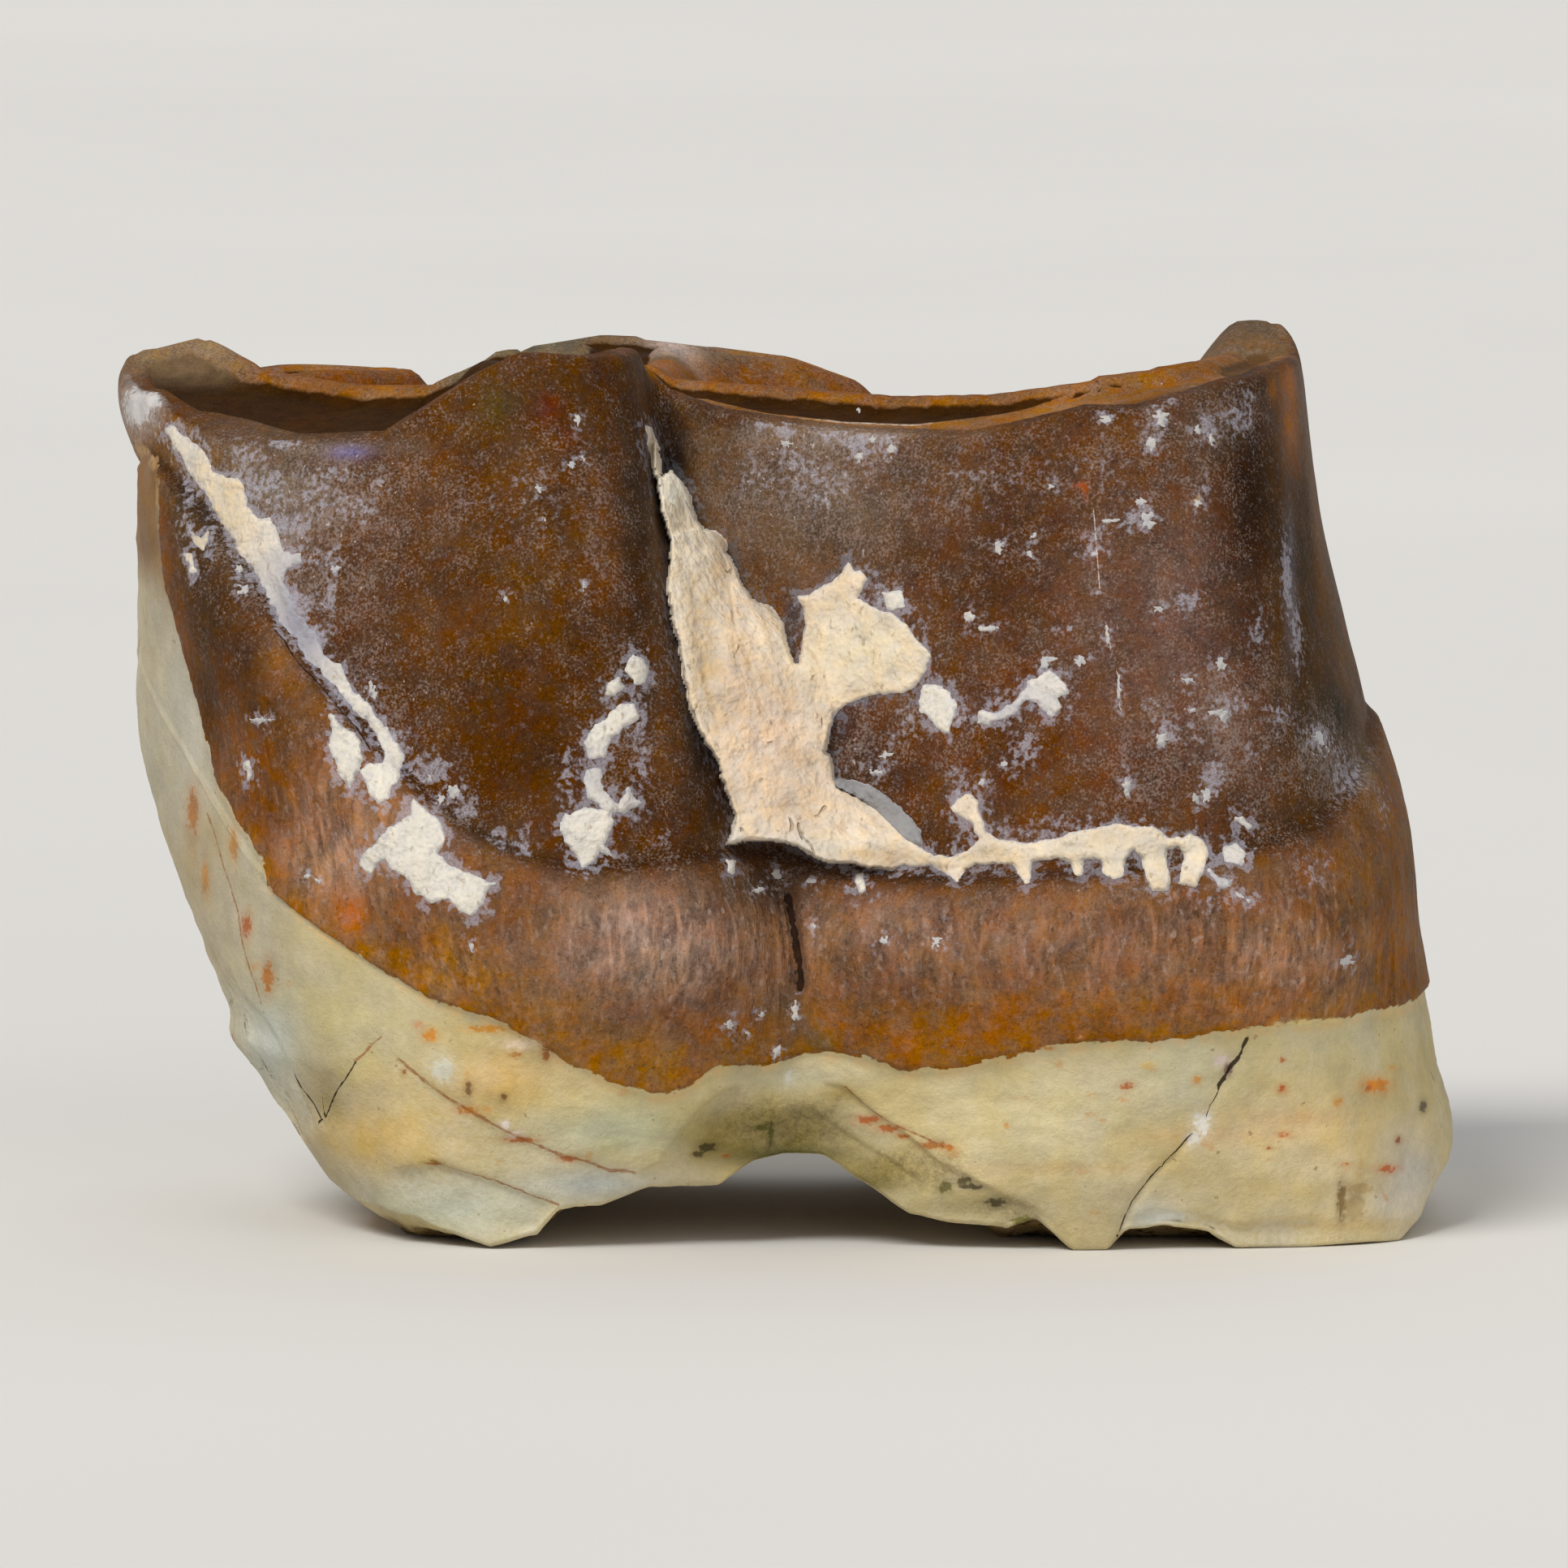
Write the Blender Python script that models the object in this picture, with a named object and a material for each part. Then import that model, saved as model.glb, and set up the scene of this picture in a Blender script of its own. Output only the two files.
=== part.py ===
"""Fossil lower cheek tooth of Hyracodon, with the hardened mud that still fills its outer groove.

The tooth stands on its two broken root stumps with its crown up.  -X is the front end, +X the rear
end, -Y the cheek side with the deep groove, and +Y the tongue side with the two open valleys.
It is one lofted solid: sections unlike one another are strung on landmarks round the tooth, the
chewing surface closes it above and the broken root faces close it below.
All lengths in this file are millimetres until a mesh is made.
"""
import math

import bpy
import numpy as np
from mathutils import Vector, noise
from mathutils.geometry import delaunay_2d_cdt

MM = 0.001

# Driving dimensions
HEIGHTS = (0.0, 3.5, 8.0, 12.0, 15.5)
MIDDLE_SHIFT = (0.0, 0.45)
ENAMEL_STEP = 0.10
RIM_ROUND = 0.16
ROOT_ROUND = 0.08
CREASE_RISE = 0.35
BULGE_PEAK_DEPTH = 1.3
BULGE_FADE_DEPTH = 3.9
VALLEY_SLOPE = 1.5
VALLEY_SOFTENING = 0.7
CREST_SOFTENING = 0.12
CREST_EDGE_ROUND = 0.3
TILT_REACH = 2.0
DENTINE_DIP = 0.22
ENAMEL_WIDTH = 0.36
TOP_SPACING = 0.42
BOTTOM_SPACING = 0.56
MATRIX_GAP = 0.30
MATRIX_EDGE = 0.16

# The crease and the swelling under it: how far above its line the ledge starts, and the share of
# the swelling that is there at once.  The enamel's lower edge tapers over the last height here.
CREASE_LEAD = 0.05
BELLY_START = 0.65
ENAMEL_TAPER = 0.12

# Unevenness of the root: its size, how often it changes, where it has faded out below the enamel,
# the height over which it fades, and the height it grows over above the ground.
ROOT_ROUGHNESS = 0.16
ROOT_ROUGHNESS_PER_MM = 0.55
ROOT_ROUGH_TOP = 3.4
ROOT_ROUGH_FADE = 1.6
ROOT_ROUGH_START = 0.8

# Landmarks round the tooth from the front pole along the cheek side to the rear pole and back
# along the tongue side.  Each has its x and its y at the five HEIGHTS.
LANDMARKS = {
    "front_pole": ((-7.5, -9.35, -11.1, -10.95, -11.3), (0.0, 0.3, 0.8, 1.0, 1.4)),
    "front_corner": ((-7.4, -9.3, -10.3, -10.55, -10.6), (-2.5, -2.6, -2.2, -1.5, -1.0)),
    "front_wall": ((-6.6, -8.1, -8.9, -9.0, -9.0), (-4.3, -4.9, -4.5, -3.5, -2.5)),
    "trigonid_wall": ((-5.2, -6.0, -6.3, -6.3, -6.3), (-5.3, -6.2, -6.0, -5.1, -3.7)),
    "protoconid": ((-3.9, -3.9, -4.0, -3.9, -3.8), (-5.3, -6.6, -6.7, -5.9, -4.4)),
    "groove_lip": ((-2.0, -1.5, -1.75, -2.55, -2.95), (-4.9, -6.3, -6.1, -5.3, -3.7)),
    "groove_floor": ((-0.1, 0.1, -0.55, -1.7, -2.35), (-4.6, -5.65, -4.1, -2.2, -1.2)),
    "groove_bank": ((1.6, 1.5, 1.5, -0.6, -1.7), (-5.0, -6.0, -5.0, -3.0, -1.9)),
    "talonid_wall": ((4.0, 3.8, 3.8, 3.0, 2.4), (-5.5, -6.5, -6.2, -5.0, -3.6)),
    "hypoconid": ((7.0, 6.6, 6.3, 6.0, 5.6), (-5.4, -6.7, -6.7, -5.9, -4.6)),
    "rear_corner": ((10.0, 9.3, 8.6, 8.0, 7.5), (-4.7, -5.7, -5.6, -4.8, -3.9)),
    "rear_wall": ((11.25, 10.85, 9.8, 8.85, 8.3), (-2.9, -3.1, -2.8, -2.3, -1.7)),
    "rear_pole": ((11.35, 11.05, 10.1, 9.15, 8.65), (0.0, 0.2, 0.4, 0.6, 0.8)),
    "rear_tongue_corner": ((10.6, 10.4, 9.6, 8.95, 8.55), (3.2, 3.9, 4.3, 4.4, 4.2)),
    "entoconid": ((8.4, 8.2, 7.9, 7.7, 7.7), (4.9, 5.9, 6.2, 5.9, 5.0)),
    "talonid_valley": ((4.0, 4.0, 4.2, 4.4, 4.5), (4.9, 5.6, 5.5, 4.6, 3.6)),
    "metaconid_wing": ((0.6, 0.6, 0.8, 0.6, 0.3), (4.4, 5.4, 6.0, 5.8, 5.1)),
    "metaconid": ((-1.8, -1.6, -1.4, -1.6, -1.9), (4.5, 5.6, 6.3, 6.2, 5.3)),
    "trigonid_valley": ((-3.9, -4.2, -4.6, -4.9, -5.1), (4.6, 5.5, 5.6, 4.8, 4.0)),
    "paraconid": ((-5.6, -6.9, -7.7, -7.9, -8.0), (4.0, 5.0, 5.6, 5.4, 4.9)),
    "front_tongue_corner": ((-6.4, -8.6, -9.9, -10.2, -10.2), (2.4, 3.1, 3.9, 4.0, 3.7)),
}
NAMES = list(LANDMARKS)
COLUMNS_PER_STRETCH = (3, 3, 4, 4, 5, 5, 4, 4, 4, 4, 4, 3, 4, 4, 6, 5, 4, 5, 5, 4, 4)

# Rows of the wall as shares of the height from the break to the enamel's edge, from there to the
# crease and from the crease to the rim, and how far the rows beside those lines are from them.
ROOT_ROWS = (0.16, 0.33, 0.5, 0.67, 0.84, 1.0)
BASE_ROWS = (0.0, 0.18, 0.36, 0.53, 0.7, 0.86, 1.0)
CROWN_ROWS = (0.0, 0.13, 0.27, 0.41, 0.56, 0.71, 0.86, 1.0)
BELOW_ENAMEL_EDGE = 0.1
ABOVE_ENAMEL_EDGE = 0.08
CREASE_OFFSETS = (-0.4, -0.18, 0.06, 0.3)
CREASE_BELOW_TOP = 0.9

# Height of the crease above the swollen base, how far the base swells below it, and the lower edge
# of the enamel, one value for each landmark in the same order.
CREASE_HEIGHT = (12.7, 13.2, 11.5, 8.3, 6.9, 6.9, 6.8, 6.55, 6.6, 6.85, 7.35, 8.2, 8.75,
                 8.2, 7.6, 7.3, 7.3, 7.5, 7.8, 8.6, 11.0)
BASE_SWELL = (0.15, 0.3, 0.5, 0.5, 0.45, 0.45, 0.5, 0.6, 0.6, 0.45, 0.5, 0.4, 0.27,
              0.25, 0.15, 0.1, 0.1, 0.1, 0.1, 0.1, 0.15)
ENAMEL_EDGE = (9.6, 8.2, 6.1, 4.5, 3.35, 3.05, 3.25, 3.25, 3.4, 3.75, 3.9, 4.0, 4.1,
               4.1, 4.0, 3.9, 3.9, 4.0, 4.4, 5.6, 8.2)

# Worn crests of the chewing surface: x, y, height, half width, and the tilt across the crest.
# The inner side, which falls to a valley, is on the left of each line.
CRESTS = {
    "paralophid": ((-7.1, 4.5, 14.2, 0.5, 0.0), (-8.3, 4.2, 14.25, 0.6, 0.0),
                   (-9.7, 3.1, 14.1, 0.45, 0.0), (-10.35, 1.8, 14.92, 0.25, 0.28),
                   (-9.9, 0.2, 14.4, 0.9, 0.15), (-8.0, -1.7, 14.05, 1.2, 0.24),
                   (-6.4, -2.5, 14.15, 1.2, 0.22), (-5.0, -2.9, 14.9, 1.1, 0.12),
                   (-4.1, -3.2, 15.2, 1.1, 0.0),
                   (-3.1, -3.2, 14.8, 1.0, 0.0)),
    "metaconid_wing": ((2.4, 4.9, 12.9, 0.5, 0.0), (1.3, 4.85, 13.95, 0.6, 0.0),
                       (0.2, 4.7, 14.35, 0.65, 0.0), (-1.0, 4.5, 14.5, 0.7, 0.0),
                       (-2.4, 4.1, 14.65, 0.9, 0.0), (-3.5, 4.2, 14.6, 0.8, 0.0),
                       (-4.5, 4.2, 14.4, 0.6, 0.0), (-5.4, 4.0, 13.9, 0.35, 0.0)),
    "cristid_obliqua": ((-2.4, -0.6, 14.4, 0.8, 0.0), (-0.6, -1.4, 14.2, 0.9, 0.14),
                        (1.6, -2.3, 14.05, 1.0, 0.16), (3.4, -2.9, 14.1, 1.05, 0.18),
                        (5.4, -3.3, 14.5, 1.0, 0.1), (7.0, -2.8, 14.75, 0.9, 0.02),
                        (7.8, -1.4, 14.8, 0.75, 0.0), (8.05, 0.8, 14.7, 0.65, 0.0),
                        (8.05, 2.8, 14.6, 0.4, 0.0), (8.2, 4.3, 15.05, 0.25, 0.0)),
}
END_REACH = {"paralophid": 1.4}
METALOPHID = ((-4.0, -2.9, 15.15, 1.1, 0.0), (-3.4, -0.8, 14.75, 0.95, 0.0),
              (-3.0, 1.6, 14.45, 0.9, 0.0), (-2.8, 3.9, 14.65, 0.9, 0.0))

# Floors of the two valleys: the height at y = 0 and the fall toward the tongue side.
VALLEY_FLOOR = 11.2
VALLEY_FALL = 0.17

# Broken root faces: height above the ground along the cheek edge, through the middle and along
# the tongue edge, and the widths over which one passes into the next.
BROKEN_EDGE = ((-9.4, 3.0), (-8.3, 2.0), (-7.4, 1.1), (-6.7, 0.75), (-5.85, 0.3), (-5.0, 0.06),
               (-4.2, 0.25), (-3.8, 0.7), (-3.1, 0.74), (-2.3, 1.06), (-1.1, 1.06), (-0.5, 1.47),
               (0.0, 1.62), (0.6, 1.6), (1.3, 1.2), (2.1, 0.58), (2.9, 0.44), (3.8, 0.37),
               (4.3, 0.55), (4.9, 0.0), (5.5, 0.0), (5.8, 0.36), (6.5, 0.4), (7.2, 0.3),
               (7.7, 0.0), (8.8, 0.0), (10.5, 0.1), (11.0, 0.5), (11.5, 1.4))
BROKEN_MIDDLE = ((-9.4, 3.0), (-8.9, 2.3), (-8.3, 1.7), (-7.8, 0.85), (-7.2, 0.45), (-6.6, 0.1),
                 (-6.4, -0.1), (-4.3, -0.1), (-3.8, 0.4), (-2.6, 1.4), (-0.6, 2.3), (0.6, 2.4),
                 (1.8, 1.8), (2.9, 0.7), (3.7, -0.1), (10.5, -0.1), (10.9, 0.3), (11.5, 1.4))
BROKEN_TONGUE = ((-9.4, 3.0), (-7.4, 1.5), (-6.2, 0.55), (-5.2, 0.1), (-4.4, 0.3), (-3.4, 1.0),
                 (-1.8, 1.4), (-0.3, 2.1), (0.8, 2.2), (1.9, 1.5), (2.9, 0.95), (3.7, 0.4),
                 (4.6, 0.08), (5.6, 0.05), (6.3, 0.42), (7.3, 0.3), (8.2, 0.0), (9.2, 0.12),
                 (10.1, 0.5), (11.5, 1.5))
CHEEK_BLEND = (-5.4, -3.2)
TONGUE_BLEND = (3.2, 4.9)

# Root canals laid open by the break: x, y, half width, half length across the tooth, and depth.
ROOT_CANALS = ((-5.35, 0.5, 0.8, 1.9, 1.0), (5.3, 0.6, 0.9, 2.3, 1.2), (8.6, 0.3, 0.9, 1.8, 0.9))
CANAL_ROUNDING = 1.5

# Lumps of the wall: landmark number, height, half width in landmarks, half height and rise.
LUMPS = ((0.2, 3.1, 2.0, 0.6, 0.22), (0.0, 13.8, 1.0, 0.8, 0.28), (11.8, 1.7, 1.6, 1.5, 0.12))

# The mud in the groove: height, and where it stops on the groove's two sides, counted in
# landmarks (5 is the lip, 6 the floor and 7 the bank).
MATRIX_ROWS = ((7.0, 5.2, 6.95), (7.5, 5.12, 6.80), (8.2, 5.08, 6.70), (9.0, 5.05, 6.75),
               (9.8, 5.05, 6.90), (10.6, 5.08, 6.85), (11.4, 5.14, 6.70), (12.1, 5.22, 6.50),
               (12.8, 5.36, 6.25))
MATRIX_POINTS = 9
MATRIX_CROWN = 0.12
MATRIX_EVEN_SHARE = 0.5

# First guesses of the heights where the wall ends, and how often they are bettered.
TOP_GUESS = 14.0
BOTTOM_GUESS = 0.5
TRIALS = 40

SHARP_ANGLE = math.radians(50)
ENAMEL_COLOUR = (0.13, 0.065, 0.035)
ENAMEL_ROUGHNESS = 0.35
MUD_COLOUR = (0.68, 0.60, 0.47)
MUD_ROUGHNESS = 0.9


def height_tables():
    """Landmark coordinates at the key heights, and their slopes for a smooth curve between them."""
    xy = np.array([LANDMARKS[name] for name in NAMES])
    slopes = np.gradient(xy, np.array(HEIGHTS), axis=2)
    return xy, slopes


TABLE, TABLE_SLOPES = height_tables()


def landmark_at(index, z):
    """Place of landmark number index at height z; both may be arrays of one shape."""
    knots = np.array(HEIGHTS)
    z = np.clip(z, knots[0], knots[-1])
    low = np.clip(np.searchsorted(knots, z, side="right") - 1, 0, len(knots) - 2)
    span = knots[low + 1] - knots[low]
    t = (z - knots[low]) / span
    places = []
    for axis in (0, 1):
        start = TABLE[index, axis, low]
        end = TABLE[index, axis, low + 1]
        start_slope = TABLE_SLOPES[index, axis, low] * span
        end_slope = TABLE_SLOPES[index, axis, low + 1] * span
        places.append((2 * t**3 - 3 * t**2 + 1) * start + (t**3 - 2 * t**2 + t) * start_slope
                      + (3 * t**2 - 2 * t**3) * end + (t**3 - t**2) * end_slope)
    return np.stack(places, axis=-1)


def outline(u, z):
    """Point of the tooth's section at height z, u landmarks round from the front pole.

    The curve is a centripetal spline through the landmarks, so it bends sharply at the groove's
    lip without overshooting.
    """
    whole = np.floor(u).astype(int)
    t = (u - whole)[..., None]
    p0, p1, p2, p3 = (landmark_at((whole + step) % len(NAMES), z) for step in (-1, 0, 1, 2))
    d1 = np.sqrt(np.linalg.norm(p1 - p0, axis=-1, keepdims=True))
    d2 = np.sqrt(np.linalg.norm(p2 - p1, axis=-1, keepdims=True))
    d3 = np.sqrt(np.linalg.norm(p3 - p2, axis=-1, keepdims=True))
    leave = ((p1 - p0) / d1 - (p2 - p0) / (d1 + d2) + (p2 - p1) / d2) * d2
    arrive = ((p2 - p1) / d2 - (p3 - p1) / (d2 + d3) + (p3 - p2) / d3) * d2
    return ((2 * t**3 - 3 * t**2 + 1) * p1 + (t**3 - 2 * t**2 + t) * leave
            + (3 * t**2 - 2 * t**3) * p2 + (t**3 - t**2) * arrive)


def outward(u, z):
    """Level unit vector that points out of the section at u and z."""
    step = 0.02
    along = outline(u + step, z) - outline(u - step, z)
    out = np.stack([along[..., 1], -along[..., 0]], axis=-1)
    return out / np.linalg.norm(out, axis=-1, keepdims=True)


def round_the_tooth(u, values):
    """Smooth curve through one value per landmark, read at u."""
    values = np.array(values)
    count = len(values)
    low = np.floor(u).astype(int)
    t = u - low
    before, start, end, after = (values[(low + step) % count] for step in (-1, 0, 1, 2))
    slope_start = (end - before) / 2
    slope_end = (after - start) / 2
    return ((2 * t**3 - 3 * t**2 + 1) * start + (t**3 - 2 * t**2 + t) * slope_start
            + (3 * t**2 - 2 * t**3) * end + (t**3 - t**2) * slope_end)


def smooth_step(value):
    value = np.clip(value, 0.0, 1.0)
    return value * value * (3 - 2 * value)


def soft_max(a, b, softness):
    """The higher of two surfaces, with a rounded join."""
    blend = np.clip(0.5 + (a - b) / (2 * softness), 0.0, 1.0)
    return b + (a - b) * blend + softness * blend * (1 - blend)


def crest_surface(x, y, line, both_sides, end_reach):
    """Height of one worn crest, a tilted flat with a slope beside it, and how far in its edge is."""
    best = np.full(x.shape, np.inf)
    height = np.zeros(x.shape)
    margin = np.zeros(x.shape)
    last = len(line) - 2
    for number, (a, b) in enumerate(zip(line[:-1], line[1:])):
        along = np.array([b[0] - a[0], b[1] - a[1]])
        length = np.hypot(along[0], along[1])
        raw = ((x - a[0]) * along[0] + (y - a[1]) * along[1]) / length**2
        t = np.clip(raw, 0.0, 1.0)
        distance = np.hypot(x - a[0] - t * along[0], y - a[1] - t * along[1])
        left = (along[0] * (y - a[1]) - along[1] * (x - a[0])) / length
        half = a[3] + t * (b[3] - a[3])
        tilt = a[4] + t * (b[4] - a[4])
        past_end = (raw > 1.0) & (number == last)
        before_start = (raw < 0.0) & (number == 0)
        drops = past_end | before_start | (left > 0) | both_sides
        here = np.where(drops, half - distance, half)
        here = np.where(past_end & (left < 0), np.maximum(half, end_reach) - distance, here)
        flat = a[2] + t * (b[2] - a[2]) + tilt * np.clip(left, -TILT_REACH, half)
        over = np.hypot(np.minimum(here, 0.0), CREST_EDGE_ROUND) - CREST_EDGE_ROUND
        fall = VALLEY_SLOPE * over
        nearer = distance < best
        height = np.where(nearer, flat - fall, height)
        margin = np.where(nearer, here, margin)
        best = np.minimum(best, distance)
    return height, margin


def all_crests(x, y):
    """Height of the joined crests, and how far the point is inside the edge of their flats."""
    top, margin = crest_surface(x, y, METALOPHID, True, 0.0)
    for name, line in CRESTS.items():
        height, here = crest_surface(x, y, line, False, END_REACH.get(name, 0.0))
        top = soft_max(top, height, CREST_SOFTENING)
        margin = np.maximum(margin, here)
    return top, margin


def chewing_surface(x, y):
    """Height of the top of the tooth over the point x, y, before the dentine wore down."""
    return soft_max(VALLEY_FLOOR - VALLEY_FALL * y, all_crests(x, y)[0], VALLEY_SOFTENING)


def worn_surface(x, y, from_edge):
    """Height of the top with the soft dentine worn hollow between its rims of hard enamel."""
    margin = np.minimum(all_crests(x, y)[1], from_edge)
    dip = smooth_step((margin - 0.5 * ENAMEL_WIDTH) / ENAMEL_WIDTH)
    return chewing_surface(x, y) - DENTINE_DIP * dip


def broken_surface(x, y):
    """Height of the underside: stumps flat on the ground and the arch between the roots."""
    edge = np.interp(x, *zip(*BROKEN_EDGE))
    middle = np.interp(x, *zip(*BROKEN_MIDDLE))
    tongue = np.interp(x, *zip(*BROKEN_TONGUE))
    inner = smooth_step((y - CHEEK_BLEND[0]) / (CHEEK_BLEND[1] - CHEEK_BLEND[0]))
    outer = smooth_step((y - TONGUE_BLEND[0]) / (TONGUE_BLEND[1] - TONGUE_BLEND[0]))
    height = edge + (middle - edge) * inner
    height = np.maximum(height + (tongue - height) * outer, 0.0)
    for canal_x, canal_y, half_width, half_length, depth in ROOT_CANALS:
        square = ((x - canal_x) / half_width)**2 + ((y - canal_y) / half_length)**2
        height = height + depth * np.maximum(1 - square, 0.0)**CANAL_ROUNDING
    return height


def broken_face(x, y, from_edge):
    """Height of the underside away from the wall, where the distance to its edge has no say."""
    return broken_surface(x, y)


def swell(u, z):
    """How far the wall stands out from the plain section: crease, swollen base, enamel's edge."""
    below = round_the_tooth(u, CREASE_HEIGHT) - z
    ledge = smooth_step((below + CREASE_LEAD) / CREASE_RISE)
    belly = BELLY_START + (1 - BELLY_START) * smooth_step(below / BULGE_PEAK_DEPTH)
    fade = 1 - smooth_step((below - BULGE_PEAK_DEPTH) / (BULGE_FADE_DEPTH - BULGE_PEAK_DEPTH))
    enamel = smooth_step((z - round_the_tooth(u, ENAMEL_EDGE)) / ENAMEL_TAPER + 0.5)
    out = round_the_tooth(u, BASE_SWELL) * ledge * belly * fade + ENAMEL_STEP * enamel
    half_way = len(NAMES) / 2
    for place, height, half_width, half_height, rise in LUMPS:
        across = (u - place + half_way) % len(NAMES) - half_way
        square = (across / half_width)**2 + ((z - height) / half_height)**2
        out = out + rise * np.maximum(1 - square, 0.0)**2
    return out


def unevenness(points):
    """Gentle unevenness of the root's old surface, strongest near the break."""
    lift = np.array([noise.noise(Vector(point) * ROOT_ROUGHNESS_PER_MM) for point in points])
    return ROOT_ROUGHNESS * lift


def wall_point(u, z, top, bottom):
    """Point of the outer wall, with the rounding where it meets the two end surfaces."""
    near_top = np.clip((z - (top - RIM_ROUND)) / RIM_ROUND, 0.0, 1.0)
    near_bottom = np.clip(((bottom + ROOT_ROUND) - z) / ROOT_ROUND, 0.0, 1.0)
    inset = (RIM_ROUND * (1 - np.sqrt(1 - near_top**2))
             + ROOT_ROUND * (1 - np.sqrt(1 - near_bottom**2)))
    return outline(u, z) + outward(u, z) * (swell(u, z) - inset)[..., None]


def end_height(u, surface, start):
    """Height at which the wall at u meets an end surface, found by repeated trial."""
    z = np.full(u.shape, start)
    for _ in range(TRIALS):
        flat = outline(u, z) + outward(u, z) * swell(u, z)[..., None]
        z = 0.5 * z + 0.5 * surface(flat[..., 0], flat[..., 1])
    return z


def column_places():
    """Places of the wall's columns, in landmarks, denser at the sharp turns."""
    places = []
    for stretch, count in enumerate(COLUMNS_PER_STRETCH):
        places.extend(stretch + step / count for step in range(count))
    return np.array(places)


def wall_rows(u):
    """Heights of the wall's rows in every column: they follow the break, enamel edge and crease."""
    top = end_height(u, chewing_surface, TOP_GUESS)
    bottom = end_height(u, broken_surface, BOTTOM_GUESS)
    enamel = round_the_tooth(u, ENAMEL_EDGE)
    crease = np.minimum(round_the_tooth(u, CREASE_HEIGHT), top - CREASE_BELOW_TOP)
    base_end, under, over, crown_start = (crease + offset for offset in CREASE_OFFSETS)
    root_start = bottom + ROOT_ROUND
    root_end = enamel - BELOW_ENAMEL_EDGE
    base_start = enamel + ABOVE_ENAMEL_EDGE
    crown_end = top - RIM_ROUND
    rows = [bottom, bottom + 0.5 * ROOT_ROUND, root_start]
    rows += [root_start + (root_end - root_start) * share for share in ROOT_ROWS]
    rows += [base_start + (base_end - base_start) * share for share in BASE_ROWS]
    rows += [under, over]
    rows += [crown_start + (crown_end - crown_start) * share for share in CROWN_ROWS]
    rows += [top - 0.3 * RIM_ROUND, top]
    return np.array(rows), top, bottom


def depth_inside(polygon, points):
    """How far each point lies inside the polygon's edge, below zero for one outside."""
    start = polygon[None, :, :]
    end = np.roll(polygon, -1, axis=0)[None, :, :]
    here = points[:, None, :]
    crosses = (start[..., 1] > here[..., 1]) != (end[..., 1] > here[..., 1])
    rise = np.where(crosses, end[..., 1] - start[..., 1], 1.0)
    meet = start[..., 0] + (here[..., 1] - start[..., 1]) * (end[..., 0] - start[..., 0]) / rise
    odd = (crosses & (here[..., 0] < meet)).sum(axis=1) % 2 == 1
    side = end - start
    t = np.clip(((here - start) * side).sum(-1) / (side**2).sum(-1), 0, 1)
    nearest = np.linalg.norm(here - start - t[..., None] * side, axis=-1).min(axis=1)
    return np.where(odd, nearest, -nearest)


def cap(loop, surface, spacing):
    """New points and triangles of an end surface inside the closed loop of wall points."""
    low = loop.min(axis=0)
    high = loop.max(axis=0)
    rows = np.arange(low[1], high[1], spacing * math.sqrt(3) / 2)
    grid = [(x + (number % 2) * spacing / 2, y) for number, y in enumerate(rows)
            for x in np.arange(low[0], high[0], spacing)]
    grid = np.array(grid)
    depth = depth_inside(loop, grid)
    grid = grid[depth > 0.5 * spacing]
    depth = depth[depth > 0.5 * spacing]
    points = np.vstack([loop, grid])
    edges = [(i, (i + 1) % len(loop)) for i in range(len(loop))]
    flat = [Vector((x, y)) for x, y in points]
    made, _, faces, _, _, _ = delaunay_2d_cdt(flat, edges, [], 1, 1e-6)
    if len(made) != len(points):
        raise ValueError("the loop of the end surface crosses itself")
    added = np.column_stack([grid, surface(grid[:, 0], grid[:, 1], depth)])
    return added, [tuple(face) for face in faces]


def tooth_mesh():
    """Points in millimetres and faces of the whole tooth."""
    u = column_places()
    rows, top, bottom = wall_rows(u)
    flat = wall_point(np.broadcast_to(u, rows.shape), rows, top, bottom)
    points = np.concatenate([flat, rows[..., None]], axis=-1).reshape(-1, 3)
    columns = len(u)
    faces = []
    for row in range(len(rows) - 1):
        for column in range(columns):
            after = (column + 1) % columns
            faces.append((row * columns + column, row * columns + after,
                          (row + 1) * columns + after, (row + 1) * columns + column))
    for row, surface, spacing, turned in ((len(rows) - 1, worn_surface, TOP_SPACING, False),
                                          (0, broken_face, BOTTOM_SPACING, True)):
        loop = points[row * columns:(row + 1) * columns, :2]
        added, triangles = cap(loop, surface, spacing)
        first = len(points)
        points = np.vstack([points, added])
        for triangle in triangles:
            corners = [row * columns + i if i < columns else first + i - columns for i in triangle]
            faces.append(tuple(reversed(corners)) if turned else tuple(corners))
    return points, faces


def roughen_roots(points):
    """Move the root's wall in and out a little, leaving the enamel, the ground and the top."""
    share = (smooth_step((ROOT_ROUGH_TOP - points[:, 2]) / ROOT_ROUGH_FADE)
             * smooth_step(points[:, 2] / ROOT_ROUGH_START))
    away = points[:, :2] / np.maximum(np.linalg.norm(points[:, :2], axis=1, keepdims=True), 1.0)
    points[:, :2] += away * (share * unevenness(points))[:, None]
    return points


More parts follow.
